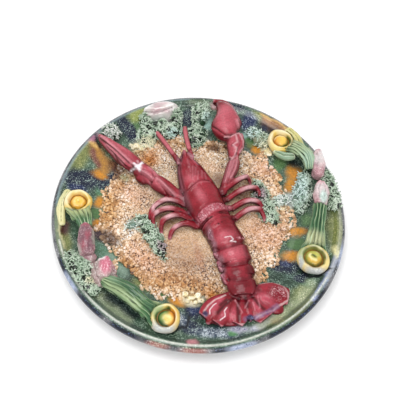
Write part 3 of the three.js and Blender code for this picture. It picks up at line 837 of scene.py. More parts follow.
# Leaves: straw yellow glaze run thin over the edges.
STRAW = Glaze(
    name="straw yellow leaf glaze",
    base="cdc47e",
    cloud="b3b36c",
    cloud_size=9.0,
    washes=(
        Wash("86a083", touches((87, 76, 17, 9, -25)), 0.4),
        Wash("dfd9a8", touches((-142, -16, 8, 26)), 0.8, 0.8, flecks="a8b08c", share=0.2),
    ),
    thin="e6e6c6",
    thin_at=(0.2, 0.7),
    deep="4c5a35",
    mottle=0.1,
)


# Shell: white slip with a breath of manganese pink in the folds.
SHELL_WHITE = Glaze(
    name="white slip shell glaze",
    base="cdc2be",
    cloud="b7abaa",
    cloud_size=6.0,
    washes=(
        Wash("c0929c", touches((-58, 119, 5, 5), (-46, 121, 6, 3, 20), (-56, 128, 9, 2.5, 5)), 0.7, 0.7),
        Wash("7f9488", touches((-58, 107, 20, 7, 5), (-77, 117, 5, 9), (-39, 119, 5, 9)), 0.9, 0.7),
        # Painted highlight on the shell's top folds.
        Wash("f6f1ef", touches((-52, 134, 16, 5, 8), (-70, 124, 5, 4), (-44, 126, 6, 4)), 0.8, 0.8),
    ),
    thin="fbf7f4",
    deep="8d7f80",
    deep_at=(-0.05, -0.5),
    mottle=0.12,
)


# ---- Clay ------------------------------------------------------------------------------------


@dataclass(frozen=True)
class Stroke:
    """One stroke of a modelling tool, given in plan and dropped onto the clay below it.

    Attributes:
        points: its route in plan.
        width: how far it spreads to either side.
        height: how far it raises the clay; less than 0 presses a groove.
    """

    points: Pairs
    width: float
    height: float

    def path(self, tree: BVHTree) -> np.ndarray:
        """Places the stroke on the clay.

        Args:
            tree: the clay's surface, in metres.

        Returns:
            Points along it on the surface, in millimetres.
        """
        corners = np.array(self.points, float)
        legs = np.linalg.norm(np.diff(corners, axis=0), axis=1)
        reach = np.concatenate([[0], np.cumsum(legs)])
        steps = np.linspace(0, reach[-1], max(2, int(reach[-1] / STROKE_STEP)))
        line = np.stack([np.interp(steps, reach, corners[:, k]) for k in (0, 1)], axis=1)
        found = [hit / MM for x, y in line if (hit := drop(tree, x * MM, y * MM)) is not None]
        return np.array(found, float).reshape(-1, 3)


@dataclass(frozen=True)
class Lump:
    """A pat of clay, round like an egg.

    Attributes:
        x, y, z: its middle.
        along, across, up: its half sizes.
        turn: direction of its length in degrees from +X.
    """

    x: float
    y: float
    z: float
    along: float
    across: float
    up: float
    turn: float = 0.0

    def mesh(self) -> Mesh:
        """Rolls the pat.

        Returns:
            Its closed mesh.
        """
        bm = bmesh.new()
        turn = Euler((0, 0, math.radians(self.turn)))
        size = Vector((self.along, self.across, self.up))
        matrix = Matrix.LocRotScale(Vector((self.x, self.y, self.z)) * MM, turn, size)
        bmesh.ops.create_icosphere(bm, subdivisions=3, radius=MM, matrix=matrix)
        return to_mesh(bm, "lump")


def pats(*values: Sequence[float]) -> tuple[Lump, ...]:
    """Pats of clay from short tuples of their fields."""
    return tuple(Lump(*value) for value in values)


def strokes(width: float, height: float, *routes: Sequence[float]) -> tuple[Stroke, ...]:
    """Strokes of one tool, each along x, y, x, y and so on."""
    return tuple(Stroke(pairs(route), width, height) for route in routes)


def arc(x: float, y: float, turn: float, half: float, bow: float) -> Pairs:
    """A shallow arc across a body.

    Args:
        x, y: middle of its chord.
        turn: direction that the body runs in, in degrees from +X.
        half: half its chord.
        bow: how far its middle stands on in that direction.

    Returns:
        Nine points in plan.
    """
    along = Vector((math.cos(math.radians(turn)), math.sin(math.radians(turn))))
    across = along.orthogonal()
    middle = Vector((x, y))
    shares = [i / 4 - 1 for i in range(9)]
    return tuple(tuple(middle + across * half * s + along * bow * (1 - s * s)) for s in shares)


def to_mesh(bm: BMesh, name: str) -> Mesh:
    """Keeps an edited mesh under a name.

    Args:
        bm: the working copy, which is freed.
        name: the mesh's name.

    Returns:
        The mesh.
    """
    mesh = bpy.data.meshes.new(name)
    bm.to_mesh(mesh)
    bm.free()
    return mesh


def add_object(name: str, data: bpy.types.ID) -> Object:
    """Puts something in the scene.

    Args:
        name: the object's name.
        data: a mesh, a light or a camera.

    Returns:
        The new object.
    """
    item = bpy.data.objects.new(name, data)
    bpy.context.scene.collection.objects.link(item)
    return item


def close(bm: BMesh) -> None:
    """Fills a shape's open ends and turns its faces outward."""
    bmesh.ops.holes_fill(bm, edges=[e for e in bm.edges if e.is_boundary], sides=0)
    bmesh.ops.recalc_face_normals(bm, faces=bm.faces)


def extruded(bm: BMesh, edges: list) -> tuple[list, list]:
    """Extrudes a loop of edges.

    Args:
        bm: the mesh.
        edges: the loop.

    Returns:
        The new loop's vertices and edges.
    """
    made = bmesh.ops.extrude_edge_only(bm, edges=edges)["geom"]
    ring = [v for v in made if isinstance(v, BMVert)]
    there = set(ring)
    return ring, [e for e in made if isinstance(e, BMEdge) and there.issuperset(e.verts)]


def turned(profile: Iterable[tuple[float, float]], steps: int) -> BMesh:
    """Turns a profile on the wheel.

    Args:
        profile: radius and height of each ring, in metres.
        steps: segments round it.

    Returns:
        The closed shape.
    """
    bm = bmesh.new()
    line = [bm.verts.new((radius, 0, height)) for radius, height in profile]
    edges = [bm.edges.new(pair) for pair in zip(line, line[1:])]
    bmesh.ops.spin(bm, geom=line + edges, axis=(0, 0, 1), angle=math.tau, steps=steps, use_merge=True)
    bmesh.ops.remove_doubles(bm, verts=bm.verts, dist=TOUCHING)
    close(bm)
    return bm


def drop(tree: BVHTree, x: float, y: float) -> Vector | None:
    """Where something dropped at a place in plan lands on a surface, all in metres."""
    return tree.ray_cast(Vector((x, y, SKY)), DOWN)[0]


def read(items: bpy_prop_collection, name: str, width: int = 3, kind: type = float) -> np.ndarray:
    """Reads a property of all of a mesh's vertices, edges or normals.

    Args:
        items: those.
        name: of the property.
        width: how many numbers it has.
        kind: of number.

    Returns:
        A row for each item.
    """
    flat = np.empty(len(items) * width, kind)
    items.foreach_get(name, flat)
    return flat.reshape(-1, width)


def positions(mesh: Mesh) -> np.ndarray:
    """A mesh's vertex positions in millimetres."""
    return read(mesh.vertices, "co") / MM


def place(mesh: Mesh, points: np.ndarray) -> None:
    """Moves a mesh's vertices to positions in millimetres."""
    mesh.vertices.foreach_set("co", (points * MM).ravel())
    mesh.update()


def normals(mesh: Mesh) -> np.ndarray:
    """A mesh's vertex normals."""
    return read(mesh.vertex_normals, "vector")


def surface(mesh: Mesh) -> BVHTree:
    """Readies a mesh for casting rays at it.

    Args:
        mesh: the mesh.

    Returns:
        The tree of its faces.
    """
    bm = bmesh.new()
    bm.from_mesh(mesh)
    tree = BVHTree.FromBMesh(bm)
    bm.free()
    return tree


def carve(mesh: Mesh, work: Iterable[Stroke]) -> None:
    """Works strokes into a mesh, each along the surface's own normals.

    Args:
        mesh: the clay.
        work: what to press and raise.
    """
    tree = surface(mesh)
    points = positions(mesh)
    outward = normals(mesh)
    moved = points.copy()
    for stroke in work:
        path = stroke.path(tree)
        if len(path) == 0:
            continue
        reach = STROKE_REACH * stroke.width
        inside = (points > path.min(0) - reach) & (points < path.max(0) + reach)
        near = np.flatnonzero(inside.all(1))
        gaps = np.linalg.norm(points[near, None] - path[None], axis=2).min(1)
        push = stroke.height * np.exp(-((gaps / stroke.width) ** 2))
        moved[near] += outward[near] * push[:, None]
    place(mesh, moved)


def waves(points: np.ndarray, size: float, seed: int = 0) -> np.ndarray:
    """Slow, smooth noise in space.

    Args:
        points: places in millimetres.
        size: distance between its random values.
        seed: which noise of many.

    Returns:
        A number from -1 to 1 for each place.
    """
    cells = points / size + 17.3 * (seed + 1)
    low = np.floor(cells).astype(np.int64)
    share = cells - low
    share = share * share * (3 - 2 * share)
    total = np.zeros(len(points))
    for corner in product((0, 1), repeat=3):
        spot = low + corner
        key = (spot * HASH_PRIMES).sum(1) ^ (seed * 97 + 13)
        key = (key * HASH_STEP + 12345) & HASH_MASK
        key = (key ^ (key >> 13)) * HASH_STEP & HASH_MASK
        weight = np.where(corner, share, 1 - share).prod(1)
        total += weight * (2 * key / HASH_MASK - 1)
    return total


def roughen(mesh: Mesh, size: float, height: float, seed: int = 0) -> None:
    """Raises and sinks a surface by slow noise.

    Args:
        mesh: the clay.
        size: size of the lumps.
        height: how far they go up and down.
        seed: which noise of many.
    """
    points = positions(mesh)
    place(mesh, points + normals(mesh) * (height * waves(points, size, seed))[:, None])


def store(mesh: Mesh, name: str, values: np.ndarray, only: np.ndarray | None = None) -> None:
    """Keeps a number or a linear colour for each vertex under a name that materials read.

    Args:
        mesh: the mesh.
        name: of the attribute.
        values: a number, or red, green and blue, for each vertex.
        only: true for each vertex to change; all of them if left out.
    """
    kind, key = ("FLOAT", "value") if values.ndim == 1 else ("FLOAT_COLOR", "color")
    attribute = mesh.attributes.get(name) or mesh.attributes.new(name, kind, "POINT")
    if values.ndim > 1:
        values = np.column_stack((values, np.ones(len(values))))
    if only is not None:
        kept = np.empty(values.size, np.float32)
        attribute.data.foreach_get(key, kept)
        values = np.where(only if values.ndim == 1 else only[:, None], values, kept.reshape(values.shape))
    attribute.data.foreach_set(key, values.astype(np.float32).ravel())


def measure_bend(mesh: Mesh, passes: int = 2) -> None:
    """Stores how sharply the surface bends at each vertex, over 0 on edges, as 1 / mm.

    Args:
        mesh: the finished mesh.
        passes: how often the measure is evened out with its neighbours.
    """
    a, b = read(mesh.edges, "vertices", 2, int).T
    points = positions(mesh)
    outward = normals(mesh)
    step = points[b] - points[a]
    turn = outward[b] - outward[a]
    bend = (turn * step).sum(1) / np.maximum((step * step).sum(1), 1e-6)
    count = len(points)
    shares = np.bincount(a, minlength=count) + np.bincount(b, minlength=count)
    values = (np.bincount(a, bend, count) + np.bincount(b, bend, count)) / shares
    for _ in range(passes):
        around = np.bincount(a, values[b], count) + np.bincount(b, values[a], count)
        values = (1 - EVENING) * values + EVENING * around / shares
    store(mesh, "curve", values)


def through(bm: BMesh, *modifiers: tuple[str, dict]) -> Mesh:
    """Runs modifiers over a mesh.

    Args:
        bm: the mesh, which is freed.
        *modifiers: the type of each with its settings.

    Returns:
        The mesh that they leave.
    """
    source = to_mesh(bm, "source")
    carrier = add_object("carrier", source)
    for kind, settings in modifiers:
        modifier = carrier.modifiers.new(kind, kind)
        for key, value in settings.items():
            setattr(modifier, key, value)
    shown = carrier.evaluated_get(bpy.context.evaluated_depsgraph_get())
    result = bpy.data.meshes.new_from_object(shown)
    bpy.data.objects.remove(carrier)
    bpy.data.meshes.remove(source)
    return result


def softened(node: str, swell: float, levels: int, edge: float = 0.75) -> Mesh:
    """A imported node's shape with its facets rounded off.

    Args:
        node: the node's name.
        swell: how far it grows to make up for what rounding takes off.
        levels: of subdivision.
        edge: how far sharp ends keep their edge, from 0 to 1.

    Returns:
        The rounded mesh.
    """
    bm = bmesh.new()
    bm.from_mesh(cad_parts[node].data)
    bmesh.ops.remove_doubles(bm, verts=bm.verts, dist=TOUCHING)
    bmesh.ops.join_triangles(bm, faces=bm.faces, angle_face_threshold=FLAT, angle_shape_threshold=SKEW)
    keep = bm.edges.layers.float.get("crease_edge") or bm.edges.layers.float.new("crease_edge")
    for line in bm.edges:
        if line.is_manifold and line.calc_face_angle() > SHARP:
            line[keep] = edge
    mesh = through(bm, ("SUBSURF", {"levels": levels, "render_levels": levels}))
    place(mesh, positions(mesh) + normals(mesh) * swell)
    return mesh


def fused(meshes: Iterable[Mesh], voxel: float, passes: int) -> Mesh:
    """Joins meshes into one closed skin.

    Args:
        meshes: closed meshes that meet or overlap.
        voxel: size of the skin's faces.
        passes: of smoothing.

    Returns:
        The skin.
    """
    bm = bmesh.new()
    for mesh in meshes:
        bm.from_mesh(mesh)
    return through(
        bm,
        ("REMESH", {"mode": "VOXEL", "voxel_size": voxel * MM}),
        ("SMOOTH", {"factor": 0.5, "iterations": passes}),
    )


MATERIALS: dict[str, Material] = {}


def finish_of(glaze: Glaze) -> Material:
    """Builds the material of a glaze, once.

    Args:
        glaze: the glaze.

    Returns:
        Its material.
    """
    if glaze.name not in MATERIALS:
        MATERIALS[glaze.name] = glaze.material()
    return MATERIALS[glaze.name]


def publish(name: str, mesh: Mesh, glaze: Glaze, nodes: Sequence[str] = ()) -> Object:
    """Glazes a finished piece and puts it on the plate.

    Args:
        name: the piece's name.
        mesh: its mesh, in metres, in place.
        glaze: what it is glazed with.
        nodes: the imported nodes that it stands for.

    Returns:
        The new object.
    """
    mesh.name = name
    mesh.shade_smooth()
    mesh.materials.clear()
    glaze.brush(mesh)
    mesh.materials.append(finish_of(glaze))
    piece = add_object(name, mesh)
    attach(piece, BODY)
    if nodes:
        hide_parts(*nodes)
    log.info("%s: %d faces, stands for %s", name, len(mesh.polygons), ", ".join(nodes) or "nothing")
    return piece


# ---- The dish and its sand -------------------------------------------------------------------


@dataclass
class Dish:
    """The turned dish.

    Attributes:
        inside: radius and height of the inside, from its middle to the top of the lip.
        outside: the same from the lip down the outside to the middle of the back.
        rim: radius and height over which a stretch belongs to the rim and is cut into steps.
        glazed_to: radius where the glaze of the inside ends on the lip.
        steps: segments round it.
        step: size of a segment across the rim.
        uneven: how far the rim goes up and down, and the size of its waves.
        level: radii between which that sets in.
    """

    inside: Pairs = (
        (0, 12.5), (45, 12.5), (75, 12.5), (88, 12.6), (93, 13), (98, 14), (104, 15.6), (110, 16.5),
        (118, 17.8), (126, 19.2), (134, 20.6), (139, 21.7), (141.5, 22.8), (143.2, 24.2), (144.6, 24.9),
        (146, 25),
    )
    outside: Pairs = (
        (148, 24.7), (150, 23.9), (151.6, 22.7), (152.4, 21), (152.2, 19.4), (150.8, 18), (147, 17),
        (140, 15.8), (125, 12.8), (108, 9.6), (92, 6.6), (79, 4.6), (76, 3.4), (75, 1), (74.4, 0), (68.6, 0),
        (68, 1), (67.6, 3.6), (66, 4.5), (40, 4.5), (0, 4.5),
    )
    rim: tuple[float, float] = (70, 9)
    glazed_to: float = 149.2
    steps: int = 720
    step: float = 1.6
    uneven: tuple[float, float] = (0.35, 45.0)
    level: tuple[float, float] = (120, 140)

    def build(self) -> None:
        """Turns the dish on the wheel and glazes its inside and its back."""
        mesh = to_mesh(turned(((r * MM, z * MM) for r, z in self._profile()), self.steps), "dish")
        points = positions(mesh)
        radius = np.hypot(points[:, 0], points[:, 1])
        height, size = self.uneven
        points[:, 2] += height * waves(points, size, 3) * np.interp(radius, self.level, (0, 1))
        place(mesh, points)
        measure_bend(mesh, 1)
        publish("glazed_dish", mesh, RIM_GLAZE, ("dish",))
        back = (radius > self.glazed_to) | (normals(mesh)[:, 2] < 0)
        BACK_GLAZE.brush(mesh, back)
        mesh.materials.append(finish_of(BACK_GLAZE))
        for face in mesh.polygons:
            face.material_index = int(all(back[i] for i in face.vertices))

    def _profile(self) -> list[tuple[float, float]]:
        """Cuts the long stretches of the profile into steps.

        Returns:
            Radius and height of every ring.
        """
        reach, rise = self.rim
        corners = (*self.inside, *self.outside)
        rings = [corners[0]]
        for (r0, z0), (r1, z1) in zip(corners, corners[1:]):
            cuts = max(1, round(abs(r1 - r0) / self.step)) if min(r0, r1) > reach and z1 > rise else 1
            rings += [(r0 + (r1 - r0) * i / cuts, z0 + (z1 - z0) * i / cuts) for i in range(1, cuts + 1)]
        return rings


@dataclass
class Sand:
    """The bed of grit: a core with a grained skin, and loose grains over it.

    Attributes:
        spacing: of the skin's vertices.
        grain: size of a grain in the middle and at the edge.
        rise: how far the skin's grains stand up in the middle and at the edge.
        blend: shares of the radius between which the skin's grains turn from fine to coarse.
        mixing: how far that wanders, as a share of the radius, and the size of its waves.
        crack: how near the next grain, in grains, the dark crack round each one starts.
        frayed: reach and size of the waves in the skin's edge.
        skirt: how far the skin goes down into the glaze at its edge.
        loose: name, number, nearest and furthest share of the radius, and radii of each kind of loose grain.
        edge, ragged: share of the bed's radius where the loose grains end, and how far that wanders.
        bay: size of the bays in that edge.
        clear: how high the lobster has to be over a grain for it to lie there.
        mixed_from: share of the radius from which grains of every tone lie mixed.
        tones: least tone and power of the tones of grains further in and further out than that.
        pebble, pebble_tones: radius from which a grain there is a pebble, and the tones that those pick from.
        clots: grit that stuck together under cream glaze.
        clot_voxel, clot_lumps: size of their faces, and size, height and seed of their unevenness.
        shapes: how many kinds of loose grain there are.
        chipped: how far the corners of a grain are from its middle, least and most, in radii.
        draw: where every random choice here comes from.
    """

    spacing: float = 0.62
    grain: tuple[float, float] = (1.3, 2.2)
    rise: tuple[float, float] = (0.45, 1.0)
    blend: tuple[float, float] = (0.5, 0.8)
    mixing: tuple[float, float] = (0.3, 20.0)
    crack: float = 0.3
    frayed: Pairs = ((2.5, 9.0), (2.0, 3.0))
    skirt: float = 2.5
    loose: tuple[tuple[str, int, float, float, float, float], ...] = (
        ("inner_grains", 9700, 0.0, 0.72, 0.42, 0.75),
        ("outer_grains", 9700, 0.55, 1.0, 0.45, 1.05),
        ("coarse_grains", 7600, 0.7, 1.12, 0.5, 2.0),
    )
    edge: float = 1.01
    ragged: float = 0.18
    bay: float = 12.0
    clear: float = 3.0
    mixed_from: float = 0.6
    tones: Pairs = ((0.28, 0.65), (0.12, 0.9))
    pebble: float = 0.8
    pebble_tones: tuple[float, ...] = (0.22, 0.35, 0.45, 0.65, 1.0)
    clots: tuple[Lump, ...] = pats(
        (-83, 78, 18.5, 2.6, 2, 2.4), (-79, 75.5, 18.5, 3, 2.2, 2.2, 30), (-75, 78.5, 18.5, 4.4, 3.6, 3),
        (-69, 79.5, 18, 4.4, 3.4, 2.8, 20), (-63, 81, 17.5, 4, 3, 2.6), (-71, 75, 17.5, 3, 2, 2),
        (67, 92, 17.5, 3, 4.4, 2.6), (70, 86.5, 17.5, 3, 3, 2.2), (63, 97, 17, 3, 2.4, 2),
        (-6, -92, 17.5, 3.6, 2.6, 2.6), (0.5, -95, 17.5, 4, 2.8, 2.6, 20), (6.5, -92, 17.5, 3.4, 2.8, 2.4),
        (10, -97, 17.5, 3.2, 2.4, 2.4), (-3, -98.5, 17.5, 2.6, 2, 2.2), (5, -99.5, 17.5, 2.4, 1.8, 2),
    )
    clot_voxel: float = 0.5
    clot_lumps: tuple[tuple[float, float, int], ...] = ((2.2, 1.0, 2), (1.1, 0.5, 9))
    shapes: int = 8
    chipped: tuple[float, float] = (0.7, 1.25)
    draw: random.Random = field(default_factory=lambda: random.Random(11))

    def build(self, relief: BVHTree) -> None:
        """Makes the skin, the loose grains and the clots.

        Args:
            relief: the lobster's surface, under which no loose grain is laid.
        """
        bed = surface(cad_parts["sand_bed"].data)
        publish("sand", self._skin(bed), GRIT, ("sand_bed",))
        for name, *how in self.loose:
            publish(name, self._grains(bed, relief, *how), GRIT).data.shade_flat()
        clots = fused((clot.mesh() for clot in self.clots), self.clot_voxel, 1)
        for how in self.clot_lumps:
            roughen(clots, *how)
        measure_bend(clots)
        publish("cream_clots", clots, CREAM)

    def _skin(self, bed: BVHTree) -> Mesh:
        """The grained top with its skirt and floor.

        Args:
            bed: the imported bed's surface.

        Returns:
            A closed mesh with each grain's tone.
        """
        low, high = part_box("sand_bed")
        size = max((high - low).xy) / 2
        segments = int(2 * size / (self.spacing * MM))
        bm = bmesh.new()
        centre = (low + high) / 2
        bmesh.ops.create_grid(
            bm, x_segments=segments, y_segments=segments, size=size,
            matrix=Matrix.Translation((centre.x, centre.y, 0)),
        )
        outside = []
        wander, wave = self.mixing
        for vert in bm.verts:
            ragged = sum(reach * MM * noise.noise(vert.co / (bay * MM)) for reach, bay in self.frayed)
            probe = vert.co + (vert.co - centre).normalized() * ragged
            hit = drop(bed, probe.x, probe.y)
            if hit is None:
                outside.append(vert)
            else:
                vert.co.z = hit.z
        bmesh.ops.delete(bm, geom=outside, context="VERTS")
        tone = bm.verts.layers.float.new("tone")
        for vert in bm.verts:
            outer = (vert.co - centre).xy.length / size + wander * noise.noise(vert.co / (wave * MM))
            coarse = float(np.interp(outer, self.blend, (0, 1)))
            raised, shade = 0.0, 0.0
            for grain, rise, share in zip(self.grain, self.rise, (1 - coarse, coarse)):
                spread, seeds = noise.voronoi(vert.co.xy.to_3d() / (grain * MM))
                dome = max(0.0, 1 - 1.6 * spread[0] ** 2)
                gap = min(1.0, (spread[1] - spread[0]) / self.crack)
                own = noise.cell(seeds[0] * 7.31)
                raised += share * (dome * (0.5 + own) - 0.6) * rise * (0.4 + 0.6 * gap)
                shade += share * (0.12 + 0.5 * own) * (0.6 + 0.4 * gap)
            shade += 0.6 * (1 - coarse) * (0.56 - shade)
            vert[tone] = shade
            vert.co.z += raised * MM
        for vert in extruded(bm, [e for e in bm.edges if e.is_boundary])[0]:
            vert.co.z -= self.skirt * MM
        close(bm)
        mesh = to_mesh(bm, "sand")
        measure_bend(mesh, 0)
        return mesh

    def _shapes(self) -> list[Mesh]:
        """Makes a few grains, each chipped its own way.

        Returns:
            Their meshes, with a radius of a millimetre.
        """
        shapes = []
        for _ in range(self.shapes):
            bm = bmesh.new()
            bmesh.ops.create_icosphere(bm, subdivisions=1, radius=MM)
            for vert in bm.verts:
                vert.co *= self.draw.uniform(*self.chipped)
            bm.verts.layers.float.new("tone")
            bm.verts.layers.float.new("curve")
            shapes.append(to_mesh(bm, "grain"))
        return shapes

    def _grains(
        self, bed: BVHTree, relief: BVHTree, count: int, near: float, far: float, small: float, large: float,
    ) -> Mesh:
        """Loose grains strewn over the bed, larger towards its edge.

        Args:
            bed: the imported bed's surface.
            relief: the lobster's surface.
            count: how many are thrown; those that fall on the lobster are left out.
            near, far: shares of the bed's radius that they fall between.
            small, large: their radii.

        Returns:
            All the grains in one mesh.
        """
        low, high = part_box("sand_bed")
        centre = (low + high) / 2
        reach = (high.x - low.x) / 2
        dish = surface(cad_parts["dish"].data)
        shapes = self._shapes()
        heap = bmesh.new()
        for _ in range(count):
            angle = self.draw.uniform(0, math.tau)
            share = math.sqrt(self.draw.uniform(near ** 2, far ** 2))
            spot = centre + Vector((math.cos(angle), math.sin(angle), 0)) * reach * share
            if share > self.edge + self.ragged * noise.noise(spot / (self.bay * MM)):
                continue
            hit = drop(bed, spot.x, spot.y) or drop(dish, spot.x, spot.y)
            if hit is None or relief.ray_cast(hit, -DOWN, self.clear * MM)[0] is not None:
                continue
            radius = small + (large - small) * self.draw.random() * share ** 2
            size = Vector(self.draw.uniform(0.65, 1.35) * radius for _ in range(3))
            turn = Euler([self.draw.uniform(0, math.tau) for _ in range(3)])
            middle = hit + Vector((0, 0, radius * 0.25 * MM))
            shape = self.draw.choice(shapes).copy()
            shape.transform(Matrix.LocRotScale(middle, turn, size))
            mixed = share > self.mixed_from
            least, power = self.tones[mixed]
            tone = self.draw.uniform(least, 1) ** power
            if mixed and radius > self.pebble:
                tone = self.draw.choice(self.pebble_tones)
            store(shape, "tone", np.full(len(shape.vertices), tone))
            heap.from_mesh(shape)
            bpy.data.meshes.remove(shape)
        return to_mesh(heap, "grains")


# ---- The lobster -----------------------------------------------------------------------------


@dataclass
class Lobster:
    """The lobster, pressed in one mould and fused where its parts meet.

    Attributes:
        voxel: size of its faces.
        swell: how far each part grows to meet the next.
        sink: how far its underside goes down into the grit.
        uneven: size, height and seed of its unevenness.
        arm_tool: how much wider and higher the strokes on the arms come out than they are given.
        head, shell_bands, tail_bands, side_plates, lace, fan, left_arm, right_arm: strokes worked into it.
        lumps: pats of clay that fill out its parts and join them.
        nodes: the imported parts.
    """

    voxel: float = 0.72
    swell: float = 0.5
    sink: float = 1.6
    uneven: tuple[tuple[float, float, int], ...] = ((9, 0.35, 0), (3, 0.12, 4))
    arm_tool: tuple[float, float] = (1.4, 0.55)

    head: tuple[Stroke, ...] = (
        *strokes(1.5, -1.1, (7, 33, 2, 32.4, -3, 30.3, -7, 27.2, -11, 23.2, -15, 18.5, -19, 17)),
        *strokes(2.0, 0.6, (7, 29.5, 1, 28.6, -3, 26.8, -7.5, 22.8, -12, 17.5)),
        *strokes(0.8, -0.5, (-2.5, 26, 3, 17, 9, 6)),
        *strokes(0.8, 0.7, (-12.1, 47.7, -10.7, 30.8), (-5.6, 41, -4.9, 31.2)),
        *strokes(0.8, 0.8, (-18.5, 56, -15.5, 47, -14, 40)),
        *strokes(1.6, 1.2, (-22.5, 66, -20, 56, -17, 46)),
        *strokes(0.9, -1.1, (-18.6, 61, -12.5, 54, -8, 48)),
        *strokes(1.6, -0.5, (-24.8, 60, -26.3, 47, -23.5, 33, -19.5, 21)),
        *strokes(3.0, 0.6, (-55.4, 93, -46, 79, -37, 64.8, -31, 56), (-27, 100, -24, 87, -20.6, 73)),
    )
    shell_bands: tuple[Stroke, ...] = tuple(
        Stroke(arc(x, y, turn, half, bow), width, height)
        for x, y, turn, half, bow, width, height in (
            (13, -1.5, -59, 19, -6, 0.9, -0.8), (14, -4, -59, 19, -6, 1.2, 0.5),
            (19.5, -11.5, -60, 19, -5, 0.9, -0.7), (21, -14, -60, 19, -5, 1.0, 0.6),
            (22.5, -16.5, -60, 19, -5, 0.9, -0.8), (24.5, -19.5, -60, 18.5, -4.5, 1.0, 0.6),
            (26, -22.5, -60, 18.5, -4, 0.9, -0.7),
        )
    )
    tail_bands: tuple[Stroke, ...] = tuple(
        Stroke(arc(x + dx, y + dy, turn, half, bow), width, height * depth)
        for x, y, turn, half, bow, depth in (
            (34, -38.8, -66, 18.5, 3.4, 1.1), (40.8, -57, -77, 17.5, 5.2, 1.1),
            (45.4, -72, -78, 16.5, 5.4, 0.8), (51.3, -86.8, -73, 15, 7.5, 0.45),
        )
        for dx, dy, width, height in ((0, 0, 1.9, -1.8), (-1.4, 5.0, 3.4, 0.9), (1.6, -5.5, 3.2, 0.6))
    )
    side_plates: tuple[Stroke, ...] = tuple(
        Stroke(arc(x, y, 196, 5.5, 2.5), 0.9, 0.9)
        for x, y in ((13.5, -30), (19.5, -46), (25.5, -60), (30.5, -73))
    )
    lace: tuple[Stroke, ...] = tuple(
        Stroke(((x - 1.6, y - 2.2 * side), (x + 1.6, y + 2.2 * side)), 0.7, 0.55)
        for x, y in (
            (1, -14), (3.4, -10.8), (6.2, -8), (9.2, -5.2), (12.6, -2.8), (16, -0.8), (19.6, 1), (23.2, 2.6),
            (27, 4.2),
        )
        for side in (-1, 1)
    )
    fan: tuple[Stroke, ...] = (
        *strokes(1.1, 0.9, (27.3, -101, 22.7, -104.3, 19.4, -110, 19.9, -115),
            (37, -97.5, 39.4, -101.5, 33, -110, 34.3, -115.5, 30, -119.3)),
        *strokes(1.2, 0.8, (43, -96.5, 50.5, -109.4), (56.2, -95, 53, -104), (60, -97.5, 62.7, -105),
            (64.4, -89, 67.4, -102)),
        *strokes(0.7, 0.9, (27.8, -34.3, 33.8, -32.6, 36.4, -35.6, 33.4, -38.2, 39, -37.6)),
        *strokes(1.4, -0.8, (42, -94, 33, -103, 25, -118), (47, -94, 46, -104, 48, -119),
            (62, -88, 70, -96, 80, -101)),
    )
    left_arm: tuple[Stroke, ...] = (
        *strokes(1.2, 2.0, (-114, 75.5, -100, 63.2, -90.5, 54.8, -80, 45.8, -73, 41)),
        *strokes(1.0, -1.5, (-111, 70, -98, 59.5, -88, 50, -80, 43), (-53, 36, -50.5, 30, -54, 24)),
        *strokes(1.0, 1.4, (-107, 66.3, -97, 56.3, -85.7, 45, -78, 40)),
        *strokes(1.0, -0.8, (-101, 60, -92, 51, -83, 41)),
        *strokes(1.2, -1.7, (-104, 71, -94, 62.5, -86, 55, -76, 47)),
        *strokes(1.2, 1.2, (-93, 61, -82, 58, -70, 49.5, -66, 45.5), (-63, 41, -57, 41, -48, 35.5)),
        *strokes(1.2, -1.2, (-72, 50, -71.5, 44, -76, 37)),
        *strokes(1.3, 1.4, (-67, 46, -66, 40, -70, 33)),
        *strokes(1.0, 1.8, (-66, 36, -59.6, 33, -53.3, 29)),
        *strokes(0.9, -1.2, (-64, 37, -56, 36, -50, 31.5), (-44, 30.5, -35, 23, -25, 15.5)),
        *strokes(1.0, -1.0, (-66, 31.5, -59, 28.5, -54, 25)),
        *strokes(1.0, 2.0, (-49, 29, -45.5, 27, -40.5, 23.5, -34, 18, -27, 12)),
        *strokes(1.0, -1.6, (-47, 25, -40, 17.5, -33, 10)),
    )
    right_arm: tuple[Stroke, ...] = (
        *strokes(1.0, -1.8, (4, 103, 12, 95, 19, 90, 25, 91, 34, 95)),
        *strokes(0.8, 1.4, (19, 89.2, 26, 89.4, 34, 95), (30.6, 91.7, 33.1, 82.5, 28.3, 78.3),
            (34.2, 94.5, 39.4, 86, 40, 80, 36.5, 72)),
        *strokes(0.8, 1.3, (28.3, 78.3, 33, 75, 31.5, 68.5), (34.5, 66, 33.5, 52, 30, 42)),
        *strokes(1.0, -1.4, (36.5, 90, 36.5, 80, 34, 73)),
        *strokes(1.0, -1.0, (29, 87, 29, 82, 25.5, 79)),
        *strokes(1.0, -1.6, (22, 67, 27, 61.8, 31, 64.5, 33.5, 69)),
        *strokes(0.8, 1.0, (24, 67, 28.3, 63.8, 32, 68)),
        *strokes(0.8, 1.5, (27.6, 60, 25, 45, 23.6, 34)),
        *strokes(0.8, 1.2, (30.8, 61, 26.8, 42)),
        *strokes(0.7, -1.0, (29.3, 60, 26, 42)),
        *strokes(0.9, -1.4, (33, 60, 29.5, 44, 26, 34)),
        *strokes(0.9, 1.2, (31, 112, 36, 101, 38.5, 92)),
        *strokes(1.2, -0.7, (27, 113, 32, 102, 34, 97)),
    )
